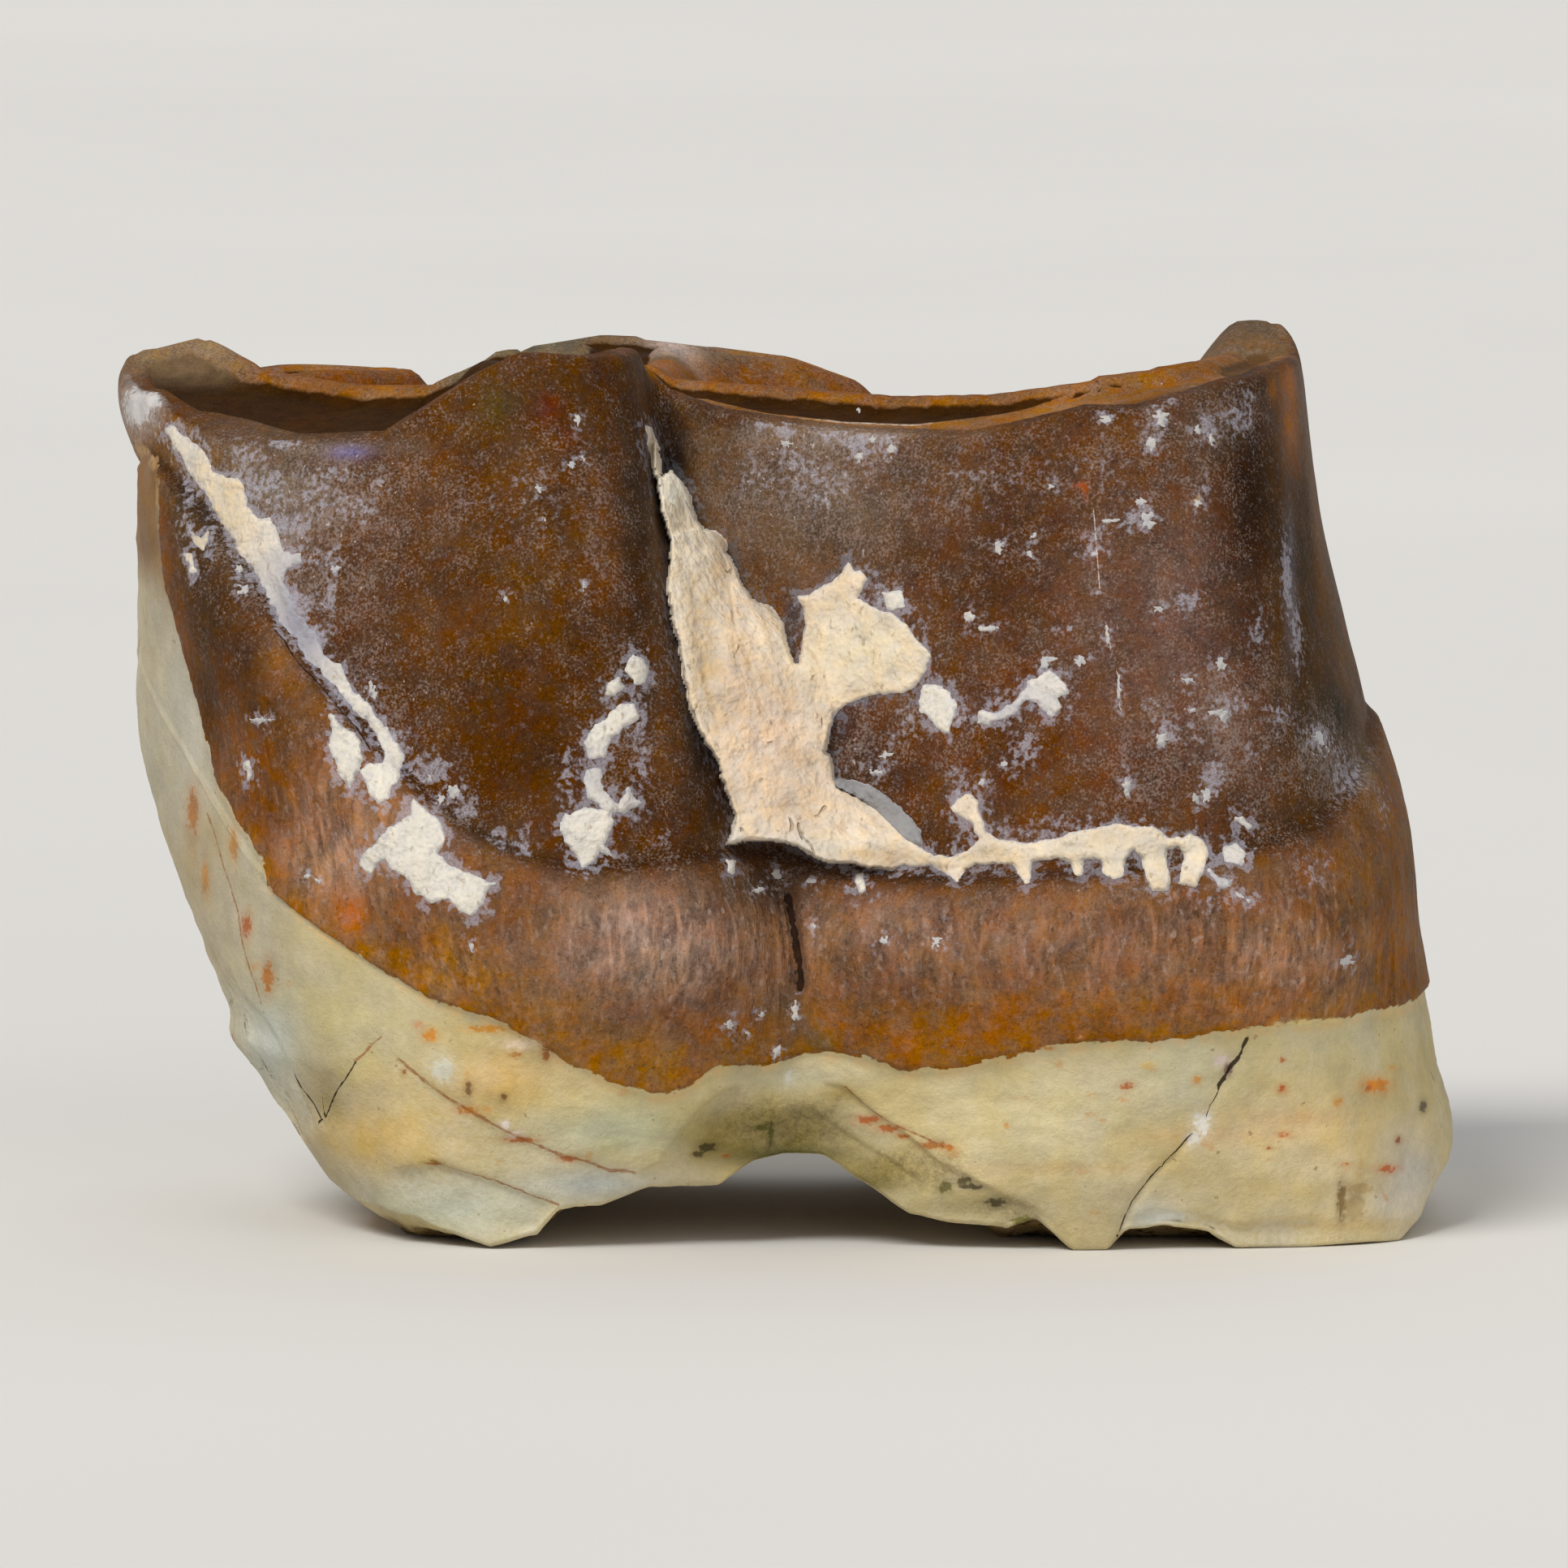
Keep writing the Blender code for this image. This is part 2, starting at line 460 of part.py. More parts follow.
def matrix_mesh():
    """Points and faces of the mud: its back follows the groove with a gap, its front is a chord."""
    sections = []
    for height, first, last in MATRIX_ROWS:
        u = np.linspace(first, last, MATRIX_POINTS)
        z = np.full(u.shape, height)
        back = outline(u, z) + outward(u, z) * (swell(u, z) + MATRIX_GAP)[..., None]
        chord = back[-1] - back[0]
        forward = np.array([chord[1], -chord[0]]) / np.linalg.norm(chord)
        along = np.clip(((back - back[0]) @ chord) / (chord @ chord), 0.0, 1.0)
        even = np.linspace(0.0, 1.0, MATRIX_POINTS)
        along = along + (even - along) * MATRIX_EVEN_SHARE
        crown = MATRIX_EDGE + MATRIX_CROWN * np.sin(np.pi * along)
        front = back[0] + along[:, None] * chord + crown[:, None] * forward
        ring = np.vstack([back[::-1], front])
        sections.append(np.column_stack([ring, np.full(len(ring), height)]))
    points = np.vstack(sections)
    count = len(sections[0])
    faces = []
    for row in range(len(sections) - 1):
        for i in range(count):
            after = (i + 1) % count
            faces.append((row * count + i, row * count + after,
                          (row + 1) * count + after, (row + 1) * count + i))
    half = MATRIX_POINTS
    for i in range(half - 1):
        low = (i, i + 1, count - 2 - i, count - 1 - i)
        faces.append(tuple(reversed(low)))
        faces.append(tuple((len(sections) - 1) * count + k for k in low))
    return points, faces


def make_material(name, colour, roughness):
    material = bpy.data.materials.new(name)
    material.use_nodes = True
    shader = material.node_tree.nodes["Principled BSDF"]
    shader.inputs["Base Color"].default_value = (*colour, 1.0)
    shader.inputs["Roughness"].default_value = roughness
    shader.inputs["Metallic"].default_value = 0.0
    return material


def make_object(name, points, faces, material, collection):
    """One closed mesh object at its real size in metres."""
    points = points + np.array([MIDDLE_SHIFT[0], MIDDLE_SHIFT[1], 0.0])
    mesh = bpy.data.meshes.new(name)
    mesh.from_pydata((points * MM).tolist(), [], faces)
    mesh.validate()
    mesh.shade_smooth()
    mesh.set_sharp_from_angle(angle=SHARP_ANGLE)
    mesh.materials.append(material)
    made = bpy.data.objects.new(name, mesh)
    collection.objects.link(made)
    return made


def make_tooth(collection):
    points, faces = tooth_mesh()
    enamel = make_material("tooth", ENAMEL_COLOUR, ENAMEL_ROUGHNESS)
    return make_object("tooth", roughen_roots(points), faces, enamel, collection)


def make_groove_matrix(collection):
    points, faces = matrix_mesh()
    mud = make_material("groove_matrix", MUD_COLOUR, MUD_ROUGHNESS)
    return make_object("groove_matrix", points, faces, mud, collection)


def clear_scene():
    for old in list(bpy.data.objects):
        bpy.data.objects.remove(old, do_unlink=True)


def build():
    clear_scene()
    collection = bpy.data.collections.new("hyracodon_tooth")
    bpy.context.scene.collection.children.link(collection)
    make_tooth(collection)
    make_groove_matrix(collection)


build()
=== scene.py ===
"""Looks of the fossil Hyracodon tooth: a fine surface for its solid, and the dried mud on it.

Lengths are millimetres until a mesh is made.  Marks of the cheek side are placed by where they are
seen from the front, in picture points: the picture is 1932 points square and a point is PICTURE_STEP.
"""

import math

import bpy
import numpy as np
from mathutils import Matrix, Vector, noise
from mathutils.bvhtree import BVHTree
from mathutils.geometry import delaunay_2d_cdt


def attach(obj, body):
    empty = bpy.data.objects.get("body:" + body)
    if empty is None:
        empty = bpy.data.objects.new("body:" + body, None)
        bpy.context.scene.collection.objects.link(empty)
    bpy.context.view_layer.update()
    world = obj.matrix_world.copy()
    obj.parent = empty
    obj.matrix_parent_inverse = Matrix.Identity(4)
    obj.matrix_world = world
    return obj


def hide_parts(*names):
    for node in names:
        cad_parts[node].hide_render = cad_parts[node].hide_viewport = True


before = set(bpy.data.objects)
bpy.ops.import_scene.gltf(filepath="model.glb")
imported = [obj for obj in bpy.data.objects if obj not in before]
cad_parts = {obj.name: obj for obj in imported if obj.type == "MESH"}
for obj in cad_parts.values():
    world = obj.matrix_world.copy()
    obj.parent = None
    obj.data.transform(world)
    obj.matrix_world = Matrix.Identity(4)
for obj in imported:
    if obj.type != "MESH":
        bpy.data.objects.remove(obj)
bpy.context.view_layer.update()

MM = 0.001

# The eye of the front view, and the size of its picture.
EYE_HEIGHT = math.radians(6.0)
PICTURE_STEP = 0.01374
PICTURE_SIDE = 1932
PICTURE_GROUND = 1542.0
EYE_PIVOT = 5.5
AIM_HEIGHT = 7.96
LENS = 400.0
SENSOR = 36.0
NEAREST_SEEN = 0.001

# Lines of sight start and end here, in mm.
SIGHT_START = -30.0
SIGHT_REACH = 60.0

# Floor and light in metres and Blender's units.  A lamp has a strength, its width, its height and
# its turn to the right in degrees, and a colour.
FLOOR_HALF = 3.0
SKY = ((0.93, 0.94, 0.96, 1.0), 0.34)
LAMP_DISTANCE = 0.5
LAMPS = (
    ("key", 2.2, 24, 48, -34, (1.0, 0.98, 0.95)),
    ("fill", 0.6, 60, 20, 34, (0.96, 0.98, 1.0)),
    ("back", 0.4, 50, 58, 170, (1.0, 1.0, 1.0)),
)

# Driving dimensions of the solid.
HEIGHTS = (0.0, 3.5, 8.0, 12.0, 15.5)
MIDDLE_SHIFT = (0.0, 0.45)
ENAMEL_STEP = 0.10
RIM_ROUND = 0.16
ROOT_ROUND = 0.08
CREASE_RISE = 0.35
BULGE_PEAK_DEPTH = 1.3
BULGE_FADE_DEPTH = 3.9
VALLEY_SLOPE = 1.5
VALLEY_SOFTENING = 0.7
CREST_SOFTENING = 0.12
CREST_EDGE_ROUND = 0.3
TILT_REACH = 2.0
DENTINE_DIP = 0.22
ENAMEL_WIDTH = 0.36
CREASE_LEAD = 0.05
BELLY_START = 0.65
ENAMEL_TAPER = 0.12
ROOT_ROUGHNESS = 0.16
ROOT_ROUGHNESS_PER_MM = 0.55
ROOT_ROUGH_TOP = 3.4
ROOT_ROUGH_FADE = 1.6
ROOT_ROUGH_START = 0.8

# First guesses of the heights where the wall ends, and how often they are bettered.
TOP_GUESS = 14.0
BOTTOM_GUESS = 0.5
TRIALS = 40

# Fineness of the surface: columns round the wall, closer together within a span of landmarks; how
# their places are walked off; rows in each band of the wall, and the heights that part the bands;
# the caps' spacing, how far their points keep from the edge, and the block of points worked at once.
COLUMNS = 570
CHEEK_DENSITY = 2.1
DENSE_SPAN = (0.2, 11.8)
WALK_SAMPLES = 4201
WALK_HEIGHTS = (1.0, 5.0, 9.0, 13.0)
BAND_ROWS = (4, 42, 4, 22, 12, 40, 6)
ENAMEL_BAND = 0.1
CREASE_BAND = (0.4, 0.3)
CREASE_BELOW_TOP = 0.9
TOP_SPACING = 0.145
BOTTOM_SPACING = 0.19
CAP_INSET = 0.5
SAME_POINT = 1e-6
BLOCK = 4000

# Small hollows of the worn dentine and of the break: how often they change, where their noise is
# read, and how deep they are; the break's have faded out at its edge.
PITS_PER_MM = 2.2
PITS_SHIFT = (0.0, 0.0, 3.0)
PIT_DEPTH = 0.05
BREAK_PER_MM = 1.3
BREAK_SHIFT = (0.0, 0.0, 7.0)
BREAK_OCTAVES = 4
BREAK_DEPTH = 0.16
BREAK_EDGE = 0.5

# Relief of the wall: worn unevenness, the striae of the base as depth, changes per mm and shift,
# and the root's grain; the heights and widths over which they fade.
WEAR_DEPTH = 0.030
WEAR_PER_MM = 0.45
STRIAE = ((0.022, (2.6, 2.6, 0.35), 5.0), (0.012, (6.0, 6.0, 0.9), 9.0))
ROOT_WEAR = 0.035
ROOT_WEAR_PER_MM = (1.1, 1.1, 2.2)
GROUND_FADE = 0.35
SKIN_FADE = 0.25
EDGE_FADE = 0.5

# Where the wall faces the cheek side: the lean of its normal at the start, and how much more it takes.
CHEEK_LEAN = 0.05
CHEEK_PASSAGE = 0.25

# A flaked step's own width in mm, and the share of its reach before the lower layer rises again.  A
# line is cut so many half widths wide, and some mm more.
LEDGE_STEP = 0.08
LEDGE_LEVEL = 0.4
CUT_WIDENING = 1.5
CUT_MARGIN = 0.03

# How far past its ends a line is marked, and over what length it fades there, as shares of the line;
# and how wide in mm a step of the mud is.
LEDGE_ENDS = (0.02, 0.15)
LINE_ENDS = (0.02, 0.06)
RIDGE_ENDS = (0.08, 0.16)
STEP_ENDS = (0.1, 0.2)
MUD_STEP_WIDTH = 0.05

# Values that stand for far away, in mm and in picture points, and for the two ends, off the wall.
FAR = 9.0
FAR_POINTS = 99.0
OFF_WALL = 6.0

# What the materials read from the tooth's shape, besides the lines below.
WALL_VALUES = ("enamel", "crease", "dentine", "ledge")

# The least value of a spot and, in mm, of the film; and the span of the worn rim of the cheek side
# that carries a painted highlight line: where it starts and is full and where it is full and ends, in
# picture points across.
NO_SPOT = -3.0
NO_FILM = -2.0
RIM_HIGHLIGHT_START = (850, 890)
RIM_HIGHLIGHT_END = (1180, 1120)

# Where the nodes' noise lies mostly, nearly always, and as good as always.
MOST_NOISE = (0.3, 0.7)
WIDE_NOISE = (0.25, 0.75)
WHOLE_NOISE = (0.2, 0.8)

# Landmarks round the tooth from the front pole along the cheek side to the rear pole and back
# along the tongue side.  Each has its x and its y at the five HEIGHTS.
LANDMARKS = {
    "front_pole": ((-7.5, -9.35, -11.1, -10.95, -11.3), (0.0, 0.3, 0.8, 1.0, 1.4)),
    "front_corner": ((-7.4, -9.3, -10.3, -10.55, -10.6), (-2.5, -2.6, -2.2, -1.5, -1.0)),
    "front_wall": ((-6.6, -8.1, -8.9, -9.0, -9.0), (-4.3, -4.9, -4.5, -3.5, -2.5)),
    "trigonid_wall": ((-5.2, -6.0, -6.3, -6.3, -6.3), (-5.3, -6.2, -6.0, -5.1, -3.7)),
    "protoconid": ((-3.9, -3.9, -4.0, -3.9, -3.8), (-5.3, -6.6, -6.7, -5.9, -4.4)),
    "groove_lip": ((-2.0, -1.5, -1.75, -2.55, -2.95), (-4.9, -6.3, -6.1, -5.3, -3.7)),
    "groove_floor": ((-0.1, 0.1, -0.55, -1.7, -2.35), (-4.6, -5.65, -4.1, -2.2, -1.2)),
    "groove_bank": ((1.6, 1.5, 1.5, -0.6, -1.7), (-5.0, -6.0, -5.0, -3.0, -1.9)),
    "talonid_wall": ((4.0, 3.8, 3.8, 3.0, 2.4), (-5.5, -6.5, -6.2, -5.0, -3.6)),
    "hypoconid": ((7.0, 6.6, 6.3, 6.0, 5.6), (-5.4, -6.7, -6.7, -5.9, -4.6)),
    "rear_corner": ((10.0, 9.3, 8.6, 8.0, 7.5), (-4.7, -5.7, -5.6, -4.8, -3.9)),
    "rear_wall": ((11.25, 10.85, 9.8, 8.85, 8.3), (-2.9, -3.1, -2.8, -2.3, -1.7)),
    "rear_pole": ((11.35, 11.05, 10.1, 9.15, 8.65), (0.0, 0.2, 0.4, 0.6, 0.8)),
    "rear_tongue_corner": ((10.6, 10.4, 9.6, 8.95, 8.55), (3.2, 3.9, 4.3, 4.4, 4.2)),
    "entoconid": ((8.4, 8.2, 7.9, 7.7, 7.7), (4.9, 5.9, 6.2, 5.9, 5.0)),
    "talonid_valley": ((4.0, 4.0, 4.2, 4.4, 4.5), (4.9, 5.6, 5.5, 4.6, 3.6)),
    "metaconid_wing": ((0.6, 0.6, 0.8, 0.6, 0.3), (4.4, 5.4, 6.0, 5.8, 5.1)),
    "metaconid": ((-1.8, -1.6, -1.4, -1.6, -1.9), (4.5, 5.6, 6.3, 6.2, 5.3)),
    "trigonid_valley": ((-3.9, -4.2, -4.6, -4.9, -5.1), (4.6, 5.5, 5.6, 4.8, 4.0)),
    "paraconid": ((-5.6, -6.9, -7.7, -7.9, -8.0), (4.0, 5.0, 5.6, 5.4, 4.9)),
    "front_tongue_corner": ((-6.4, -8.6, -9.9, -10.2, -10.2), (2.4, 3.1, 3.9, 4.0, 3.7)),
}
NAMES = list(LANDMARKS)

# Height of the crease above the swollen base, how far the base swells below it, and the lower edge
# of the enamel, one value for each landmark in the same order.
CREASE_HEIGHT = (12.7, 13.2, 11.5, 8.3, 6.9, 6.9, 6.8, 6.55, 6.6, 6.85, 7.35, 8.2, 8.75,
                 8.2, 7.6, 7.3, 7.3, 7.5, 7.8, 8.6, 11.0)
BASE_SWELL = (0.15, 0.3, 0.5, 0.5, 0.45, 0.45, 0.5, 0.6, 0.6, 0.45, 0.5, 0.4, 0.27,
              0.25, 0.15, 0.1, 0.1, 0.1, 0.1, 0.1, 0.15)
ENAMEL_EDGE = (9.6, 8.2, 6.1, 4.5, 3.35, 3.05, 3.25, 3.25, 3.4, 3.75, 3.9, 4.0, 4.1,
               4.1, 4.0, 3.9, 3.9, 4.0, 4.4, 5.6, 8.2)

# Worn crests of the chewing surface: x, y, height, half width, and the tilt across the crest.
# The inner side, which falls to a valley, is on the left of each line.
CRESTS = {
    "paralophid": ((-7.1, 4.5, 14.2, 0.5, 0.0), (-8.3, 4.2, 14.25, 0.6, 0.0),
                   (-9.7, 3.1, 14.1, 0.45, 0.0), (-10.35, 1.8, 14.92, 0.25, 0.28),
                   (-9.9, 0.2, 14.4, 0.9, 0.15), (-8.0, -1.7, 14.05, 1.2, 0.24),
                   (-6.4, -2.5, 14.15, 1.2, 0.22), (-5.0, -2.9, 14.9, 1.1, 0.12),
                   (-4.1, -3.2, 15.2, 1.1, 0.0), (-3.2, -3.2, 15.12, 1.0, 0.0)),
    "metaconid_wing": ((2.4, 4.9, 12.9, 0.5, 0.0), (1.3, 4.85, 13.95, 0.6, 0.0),
                       (0.2, 4.7, 14.35, 0.65, 0.0), (-1.0, 4.5, 14.5, 0.7, 0.0),
                       (-2.4, 4.1, 14.68, 0.9, 0.0), (-3.3, 4.2, 14.76, 0.8, 0.0),
                       (-4.4, 4.2, 14.62, 0.6, 0.0), (-5.4, 4.0, 14.05, 0.35, 0.0)),
    "cristid_obliqua": ((-2.4, -0.6, 14.4, 0.8, 0.0), (-0.6, -1.4, 14.2, 0.9, 0.14),
                        (1.6, -2.3, 14.05, 1.0, 0.16), (3.4, -2.9, 14.1, 1.05, 0.18),
                        (5.4, -3.3, 14.5, 1.0, 0.1), (7.0, -2.8, 14.75, 0.9, 0.02),
                        (7.8, -1.4, 14.8, 0.75, 0.0), (8.05, 0.8, 14.7, 0.65, 0.0),
                        (8.05, 2.8, 14.6, 0.4, 0.0), (8.2, 4.3, 15.05, 0.25, 0.0)),
}
END_REACH = {"paralophid": 1.4}
METALOPHID = ((-4.0, -2.9, 15.15, 1.1, 0.0), (-3.4, -0.8, 14.75, 0.95, 0.0),
              (-3.0, 1.6, 14.45, 0.9, 0.0), (-2.8, 3.9, 14.65, 0.9, 0.0))

# The valleys' height in the middle, and how much lower they are with each mm towards the tongue.
VALLEY_FLOOR = 11.2
VALLEY_FALL = 0.17

# Broken root faces: height above the ground along the cheek edge, through the middle and along
# the tongue edge, and the widths over which one passes into the next.
BROKEN_EDGE = ((-9.4, 3.0), (-8.3, 2.0), (-7.4, 1.1), (-6.7, 0.75), (-5.85, 0.3), (-5.0, 0.06),
               (-4.2, 0.25), (-3.8, 0.7), (-3.1, 0.74), (-2.3, 1.06), (-1.1, 1.06), (-0.5, 1.47),
               (0.0, 1.62), (0.6, 1.6), (1.3, 1.2), (2.1, 0.58), (2.9, 0.44), (3.8, 0.37),
               (4.3, 0.55), (4.9, 0.0), (5.5, 0.0), (5.8, 0.36), (6.5, 0.4), (7.2, 0.3),
               (7.7, 0.0), (8.8, 0.0), (10.5, 0.1), (11.0, 0.5), (11.5, 1.4))
BROKEN_MIDDLE = ((-9.4, 3.0), (-8.9, 2.3), (-8.3, 1.7), (-7.8, 0.85), (-7.2, 0.45), (-6.6, 0.1),
                 (-6.4, -0.1), (-4.3, -0.1), (-3.8, 0.4), (-2.6, 1.4), (-0.6, 2.3), (0.6, 2.4),
                 (1.8, 1.8), (2.9, 0.7), (3.7, -0.1), (10.5, -0.1), (10.9, 0.3), (11.5, 1.4))
BROKEN_TONGUE = ((-9.4, 3.0), (-7.4, 1.5), (-6.2, 0.55), (-5.2, 0.1), (-4.4, 0.3), (-3.4, 1.0),
                 (-1.8, 1.4), (-0.3, 2.1), (0.8, 2.2), (1.9, 1.5), (2.9, 0.95), (3.7, 0.4),
                 (4.6, 0.08), (5.6, 0.05), (6.3, 0.42), (7.3, 0.3), (8.2, 0.0), (9.2, 0.12),
                 (10.1, 0.5), (11.5, 1.5))
CHEEK_BLEND = (-5.4, -3.2)
TONGUE_BLEND = (3.2, 4.9)

# The roots' canals as x, y, half width, half length and depth, and the power that rounds them.
ROOT_CANALS = ((-5.35, 0.5, 0.8, 1.9, 1.0), (5.3, 0.6, 0.9, 2.3, 1.2), (8.6, 0.3, 0.9, 1.8, 0.9))
CANAL_ROUNDING = 1.5

# Lumps of the wall: landmark number, height, half width in landmarks, half height and rise.
LUMPS = ((0.2, 3.1, 2.0, 0.6, 0.22), (0.0, 13.9, 1.0, 1.25, 0.28), (11.8, 1.7, 1.6, 1.5, 0.12))

# The mud in the groove: height, and where it stops on the groove's two sides, in landmarks.
MATRIX_ROWS = (
    (6.4, 5.2, 6.95), (7.0, 5.2, 6.95), (7.5, 5.12, 6.80), (8.2, 5.08, 6.70), (9.0, 5.05, 6.75),
    (9.8, 5.05, 6.90), (10.6, 5.08, 6.85), (11.4, 5.14, 6.70), (12.1, 5.22, 6.50), (12.8, 5.36, 6.25),
    (13.6, 5.5, 6.1),
)

# The front face, where a neighbour wore the enamel away, as an outline: millimetres round the front
# pole towards the cheek and height; the millimetres in a landmark there; and how deep it is worn.
BARE_FACE = (
    (5.2, 6.6), (4.05, 7.8), (3.6, 9.4), (3.38, 10.4), (3.26, 11.3), (3.12, 12.1), (2.95, 12.8),
    (2.5, 13.2), (1.6, 13.35), (0.4, 13.1), (-0.8, 12.5), (-1.9, 11.4), (-2.9, 9.8), (-3.8, 8.2),
    (-4.8, 6.6), (-6.2, 5.2), (-6.6, 2.0), (5.2, 2.0),
)
BARE_MM = 2.6
BARE_DEPTH = 0.09

# How far the enamel's lower edge on the cheek side is above its plain curve, by x.
EDGE_WAVE = (
    (-6.0, 0.0), (-5.0, 0.27), (-4.6, 0.32), (-4.1, 0.22), (-3.6, 0.06), (-3.0, -0.12), (-2.24, -0.34),
    (-1.66, -0.2), (-1.2, 0.14), (-0.3, 0.06), (0.74, 0.19), (1.5, 0.1), (2.09, -0.12), (2.9, -0.08),
    (3.6, 0.05), (4.6, 0.12), (5.34, 0.2), (6.2, 0.05), (8.3, 0.12), (9.6, 0.08), (11.0, 0.0),
)

# The landmarks between which these waves are there.
WAVE_SPAN = (1.5, 11.2)

# Where the worn hollow of the chewing surface ends towards the cheek, in picture points.
NEAR_RIMS = (
    ((178, 506), (230, 499), (260, 503), (300, 512), (339, 524), (391, 537), (430, 545), (469, 545),
     (500, 530), (521, 512), (560, 478)),
    ((858, 480), (876, 487), (944, 504), (1041, 516), (1128, 520), (1235, 507), (1332, 486), (1429, 463),
     (1506, 441)),
)

# The part of the top that they can bound, and how steeply the hollow falls off at them.
NEAR_HALF = -0.8
NEAR_RIM_GAIN = 6

# Line along the crests of the cheek side, as x and y: the rim before it is stained like the wall.
CHEEK_CRESTS = (
    (-10.4, 1.8), (-9.9, 0.2), (-8.0, -1.7), (-6.4, -2.5), (-5.0, -2.9), (-4.1, -3.2), (-3.0, -2.2),
    (-2.4, -1.0), (-1.5, -1.0), (-0.6, -1.4), (1.6, -2.3), (3.4, -2.9), (5.4, -3.3), (7.0, -2.8),
    (7.8, -1.4),
)

# Steps of the root where layers have flaked off, in picture points.  The lower layer is on the
# right of each line as it is walked: its depth in mm, how far it reaches, how bleached it is.
LEDGES = (
    (0.07, 1.3, 0.45, ((487, 1304), (519, 1331), (559, 1361), (595, 1379), (637, 1401), (687, 1423),
                       (725, 1432), (751, 1444), (779, 1444))),
    (0.10, 1.2, 0.0, ((779, 1446), (812, 1431), (831, 1403), (850, 1378), (866, 1361), (889, 1345),
                      (915, 1333))),
    (0.14, 1.3, 0.9, ((468, 1446), (500, 1438), (536, 1434), (567, 1444), (602, 1456), (654, 1475),
                      (690, 1488))),
    (0.12, 1.4, 0.8, ((278, 1198), (294, 1233), (318, 1252), (334, 1276), (350, 1304), (361, 1336),
                      (373, 1366), (392, 1402))),
    (0.09, 0.6, 0.0, ((1650, 1514), (1653, 1460), (1694, 1456))),
    (0.10, 0.8, 0.7, ((1385, 1507), (1420, 1490), (1450, 1494), (1530, 1510), (1600, 1500), (1648, 1505))),
    (0.12, 1.0, 0.0, ((1010, 1330), (1040, 1338), (1075, 1368), (1120, 1398), (1160, 1432), (1200, 1452),
                      (1250, 1478), (1300, 1500))),
    (0.06, 0.7, 0.0, ((985, 1350), (1010, 1372), (1050, 1402), (1100, 1432), (1150, 1468))),
)

# Cracks, and one painted shadow line, in picture points: half width and depth in mm, and the line.
CRACKS_AND_SHADOW_LINE = (
    (0.011, 0.08, ((1470, 1396), (1458, 1410), (1436, 1434), (1417, 1454), (1405, 1470), (1396, 1484),
                   (1385, 1508), (1378, 1530), (1375, 1542))),
    (0.034, 0.05, ((1537, 1278), (1531, 1292), (1527, 1304), (1516, 1314), (1509, 1328), (1500, 1342))),
    (0.007, 0.04, ((1506, 1334), (1499, 1350), (1490, 1364), (1486, 1378))),
    # painted shadow: this line, dark under the lower edge of the crust in the crease, with a shallow cut
    (0.012, 0.03, ((334, 770), (350, 788), (364, 812), (384, 832), (404, 854), (424, 878), (444, 900),
                   (458, 924))),
    (0.056, 0.20, ((969, 1098), (973, 1125), (977, 1160), (981, 1195), (984, 1222))),
    (0.012, 0.02, ((357, 1326), (366, 1342), (374, 1352), (384, 1370), (391, 1387))),
    (0.015, 0.03, ((437, 1308), (424, 1330), (412, 1345), (404, 1362), (391, 1388))),
)

# Rust-brown seams, one of them a painted shadow line, and pale scratches, in the same form, and how far off
# a line is still marked.
SEAMS_AND_SHADOW_LINE = (
    (0.034, 0.03, ((486, 1304), (519, 1331), (559, 1361), (595, 1379), (637, 1401), (687, 1423),
                   (725, 1433), (751, 1445), (785, 1447))),
    # painted shadow: this line, brown under the overhanging layer above the flake
    (0.026, 0.03, ((520, 1434), (567, 1446), (614, 1460), (654, 1476), (690, 1488))),
    (0.020, 0.02, ((1040, 1338), (1062, 1362), (1096, 1384), (1140, 1402), (1165, 1414))),
    (0.022, 0.02, ((470, 1277), (456, 1288), (446, 1300), (434, 1309))),
    (0.014, 0.02, ((247, 1000), (258, 1030), (266, 1059), (286, 1118), (298, 1181), (310, 1213),
                   (318, 1240))),
)
SCRATCHES = (
    (0.010, 0.0, ((1346, 625), (1350, 680), (1354, 732))),
    (0.018, 0.0, ((1360, 768), (1363, 785), (1367, 802))),
    (0.012, 0.0, ((1376, 826), (1377, 850), (1378, 876))),
)
LINES = {"crack": CRACKS_AND_SHADOW_LINE, "seam": SEAMS_AND_SHADOW_LINE, "scratch": SCRATCHES}
LINE_REACH = 0.24
